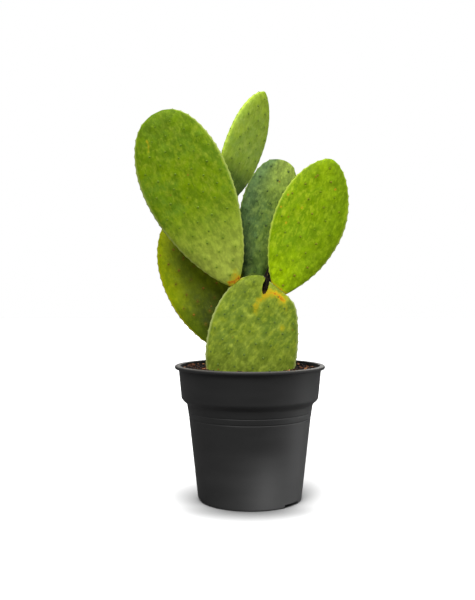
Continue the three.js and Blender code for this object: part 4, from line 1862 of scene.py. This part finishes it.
def make_pads() -> list[Pad]:
    """The six pads with their sizes, their greens and their scars, each after its parent.

    Returns:
        The pads.
    """
    base = Pad(
        "base_pad_skin", neck=(-4, -4, 96), length=157, width=103.5, thickness=22, bare=52,
        lean=0, tilt=7, turn=0, neck_taper=0.36, tip_taper=0.4, bow=-3, curl=0, slope=0.2,
        skin=WaxySkin(
            "dusty_olive_cactus_skin",
            flesh="#798b26", deep="#566f1b", light="#98a62c", root="#708228", tip="#768723",
            net="#b2c24c", rim="#bcc67c", halo="#5d7426", bloom="#667f34", net_strength=0.75,
            slant=30.0, streak=3.6, rim_strength=0.65, fleck_share=0.12, root_span=(0.58, 0.3),
        ),
        felt=AreoleFelt("dark_areole_felt", "#4c6220", "#6f8532", "#8fa347"),
        slot="base_skin", notch=Notch(), net_height=0.2,
        scars=(
            Scar(((35.6, 193.4),), 4.6, 0.5, 0.3),
            Scar(((6.9, 211.0), (6.2, 218.3), (9.8, 223.1), (15.5, 227.5)), 5.2, 0.5, 0.6),
            Scar(((15.5, 229.0), (20.9, 233.5), (29.0, 231.5), (38.0, 224.5)), 6.0, 0.62, 0.5),
            Scar(((26.0, 233.0), (31.0, 230.0), (38.5, 224.5)), 4.0, 0.8, 0.7),
            Scar(((32.0, 222.0), (40.0, 216.0)), 4.5, 0.38, 0.7),
            Scar(((-24.0, 246.0), (-12.0, 251.0)), 4.0, 0.7, 0.6),
        ),
    )
    left = Pad(
        "left_pad_skin", neck=(-15.5, -5, 238.5), length=213, width=98, thickness=15, bare=16,
        lean=5, tilt=-24.5, turn=0, neck_taper=0.76, tip_taper=0.48, bow=-2.5, curl=-3,
        skin=WaxySkin(
            "fresh_green_cactus_skin",
            flesh="#769304", deep="#547303", light="#889e1a", root="#bccc54", tip="#668503",
            net="#a2af3b", rim="#b9c668", halo="#64800f", bloom="#5c8426", net_strength=0.4,
            fine_net_strength=0.3, rim_strength=0.65, tint_strength=0.8, root_span=(0.52, 0.08),
        ),
        felt=AreoleFelt("olive_areole_felt", "#668214", "#789326", "#92a93c"),
        slot="left_skin", parent=base, joint_cork=0.9, joint_reach=5.0,
        scars=(
            Scar(((-22.0, 243.5), (-17.0, 246.5), (-12.5, 249.0)), 3.6, 0.92, 0.6),
            Scar(((-18.0, 249.0), (-16.5, 256.0)), 4.6, 0.5, 0.6),
            Scar(((-114.0, 399.0), (-111.5, 394.0), (-112.0, 387.0)), 1.8, 0.45, 0.5),
        ),
    )
    right_spots = ((40.3, 310.9), (34.7, 328.8), (42.6, 342.2), (58.2, 327.7), (95.0, 347.8))
    right = Pad(
        "right_pad_skin", neck=(31, -4, 227.5), length=166, width=80, thickness=14, bare=16,
        lean=3, tilt=21.5, turn=0, neck_taper=0.82, tip_taper=0.65, bow=2, curl=3,
        skin=WaxySkin(
            "yellow_green_cactus_skin",
            flesh="#89a900", deep="#668a02", light="#b0c624", root="#a4c600", tip="#89a800",
            net="#9fb52e", rim="#c4d45a", halo="#627e00", bloom="#7ea41c", net_strength=0.25,
            fleck_share=0.22, root_span=(0.4, 0.05),
            shade="#74940c", shade_span=(0.35, 0.85), shade_strength=0.6,
        ),
        felt=AreoleFelt("brown_areole_felt", "#6f8a10", "#8e7a1c", "#a3b92a"),
        slot="right_skin", parent=base, joint_cork=0.75, joint_reach=3.5,
        scars=tuple(Scar((spot,), 1.5, 0.95, 0.3) for spot in right_spots),
    )
    middle = Pad(
        "middle_pad_skin", neck=(1, 1, 229), length=165, width=57, thickness=12.5, bare=26,
        lean=-9, tilt=13, turn=0, neck_taper=0.8, tip_taper=0.4, bow=-6.5, curl=2,
        # Its dark root and pale tip paint the shade that the side pads cast low on it, and the
        # light on its top.
        skin=WaxySkin(
            "blue_green_cactus_skin",
            flesh="#6b832e", deep="#455f26", light="#869c41", root="#3c5420", tip="#96aa44",
            net="#869a4b", rim="#839844", halo="#2b3f13", bloom="#56784a", net_strength=0.45,
            root_span=(0.5, 0.15), tip_span=(0.55, 1.0),
            shade="#385232", shade_span=(0.6, 0.12), shade_strength=0.8,
        ),
        felt=AreoleFelt("dark_areole_felt_2", "#30461e", "#4d6130", "#7d9448"),
        slot="middle_skin", parent=base, joint_cork=0.3,
    )
    rear_left = Pad(
        "rear_left_pad_skin", neck=(-18.5, 4, 161), length=191, width=101, thickness=15, bare=16,
        lean=-14, tilt=-19, turn=0, neck_taper=0.73, tip_taper=0.52, bow=-2, curl=3,
        # Its dark root and its shade tint paint the shade that the left and base pads cast on it.
        skin=WaxySkin(
            "olive_yellow_cactus_skin",
            flesh="#8e9e00", deep="#738700", light="#a0ac09", root="#42560a", tip="#9aa404",
            net="#9aa61e", rim="#b2af13", halo="#73610b", bloom="#7c9018", net_strength=0.15,
            fine_net_strength=0.1, fleck_share=0.16, root_span=(0.5, 0.26),
            shade="#4a5808", shade_span=(0.04, 0.32), shade_strength=0.75,
        ),
        felt=AreoleFelt("rusty_areole_felt", "#5a4a08", "#94600f", "#8f9010"),
        slot="rear_left_skin", parent=base, joint_cork=0.3,
    )
    rear_top = Pad(
        "rear_top_pad_skin", neck=(-43, 45.5, 321), length=165, width=74.5, thickness=12.5,
        bare=16, lean=-2, tilt=22, turn=56, neck_taper=0.95, tip_taper=0.71, bow=4, curl=0,
        # Its dark root paints the shadow that the left and middle pads cast on its lower end.
        skin=WaxySkin(
            "pale_green_cactus_skin",
            flesh="#b4d040", deep="#96b737", light="#c5dc5d", root="#4c6b2c", tip="#a6c337",
            net="#c5dc6e", rim="#cce350", halo="#86a636", bloom="#9cc05c", rim_strength=0.45,
            root_span=(0.5, 0.3),
        ),
        felt=AreoleFelt("olive_areole_felt_2", "#627c2c", "#7a9038", "#93a84a"),
        slot="rear_top_skin", parent=rear_left, joint_cork=0.4,
    )
    return [base, left, right, middle, rear_left, rear_top]


@dataclass(frozen=True)
class ShrivelledBud:
    """A dead bud in the healed notch of the base pad's top edge, its dark top painting the shade
    of the gap.
    """

    foot: Triple = (12.8, -3.0, 221.0)
    top: Triple = (23.6, 1.0, 266.0)
    girth: float = 5.6  # mm, its largest radius
    belly: float = 0.55  # below 1, its thickest place lies nearer to its foot
    fullness: float = 0.7  # below 1, its ends are blunter
    depth: float = 0.8  # for its width
    folds: tuple[Triple, ...] = ((0.16, 5, 2.5), (0.07, 11, -4))  # depth, number and twist
    crumple: Pair = (0.8, 4.0)  # mm, depth and size of its unevenness
    sides: int = 40
    rings: int = 44
    finish: DriedBud = field(default_factory=DriedBud)

    def build(self) -> Piece:
        """Builds a wrinkled spindle and dresses it as part of the base pad.

        Returns:
            The bud.
        """
        share = np.linspace(0, 1, self.rings + 2)
        radii = self.girth * np.sin(np.pi * share**self.belly) ** self.fullness
        angles = np.arange(self.sides) / self.sides * 2 * np.pi
        axis = np.outer(1 - share, self.foot) + np.outer(share, self.top)
        rows = []
        for (x, y, z), radius, s in zip(axis[1:-1], radii[1:-1], share[1:-1]):
            folded = np.full(self.sides, radius)
            for deep, count, twist in self.folds:
                folded += radius * deep * np.cos(count * angles + twist * s)
            rows.append(ring(angles, folded, z, (x, y), self.depth))
        points = np.concatenate([[axis[0]], *rows, [axis[-1]]]) * MM
        high, size = self.crumple
        points += high * MM * np.stack([ripple(points, size, seed=s) for s in (1, 2, 3)], axis=1)
        # The bud's dark body stands in the shaded gap by the notch, painting its shade.
        bud = mesh_object("shrivelled_bud", points, lathe_faces(self.rings, self.sides))
        bud.data.materials.append(self.finish.material())
        return dress(bud, "base_pad")


def main() -> None:
    """Builds the pot, the pads, the soil and the studio, in that order."""
    logging.basicConfig(level=logging.INFO, format="%(name)s %(message)s")
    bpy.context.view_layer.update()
    pot = Pot()
    pot.build()
    pads = make_pads()
    for pad in pads:
        pad.build()
    ShrivelledBud().build()
    Soil(pot).build(pads[0])
    Studio().build()


if __name__ == "__main__":
    main()
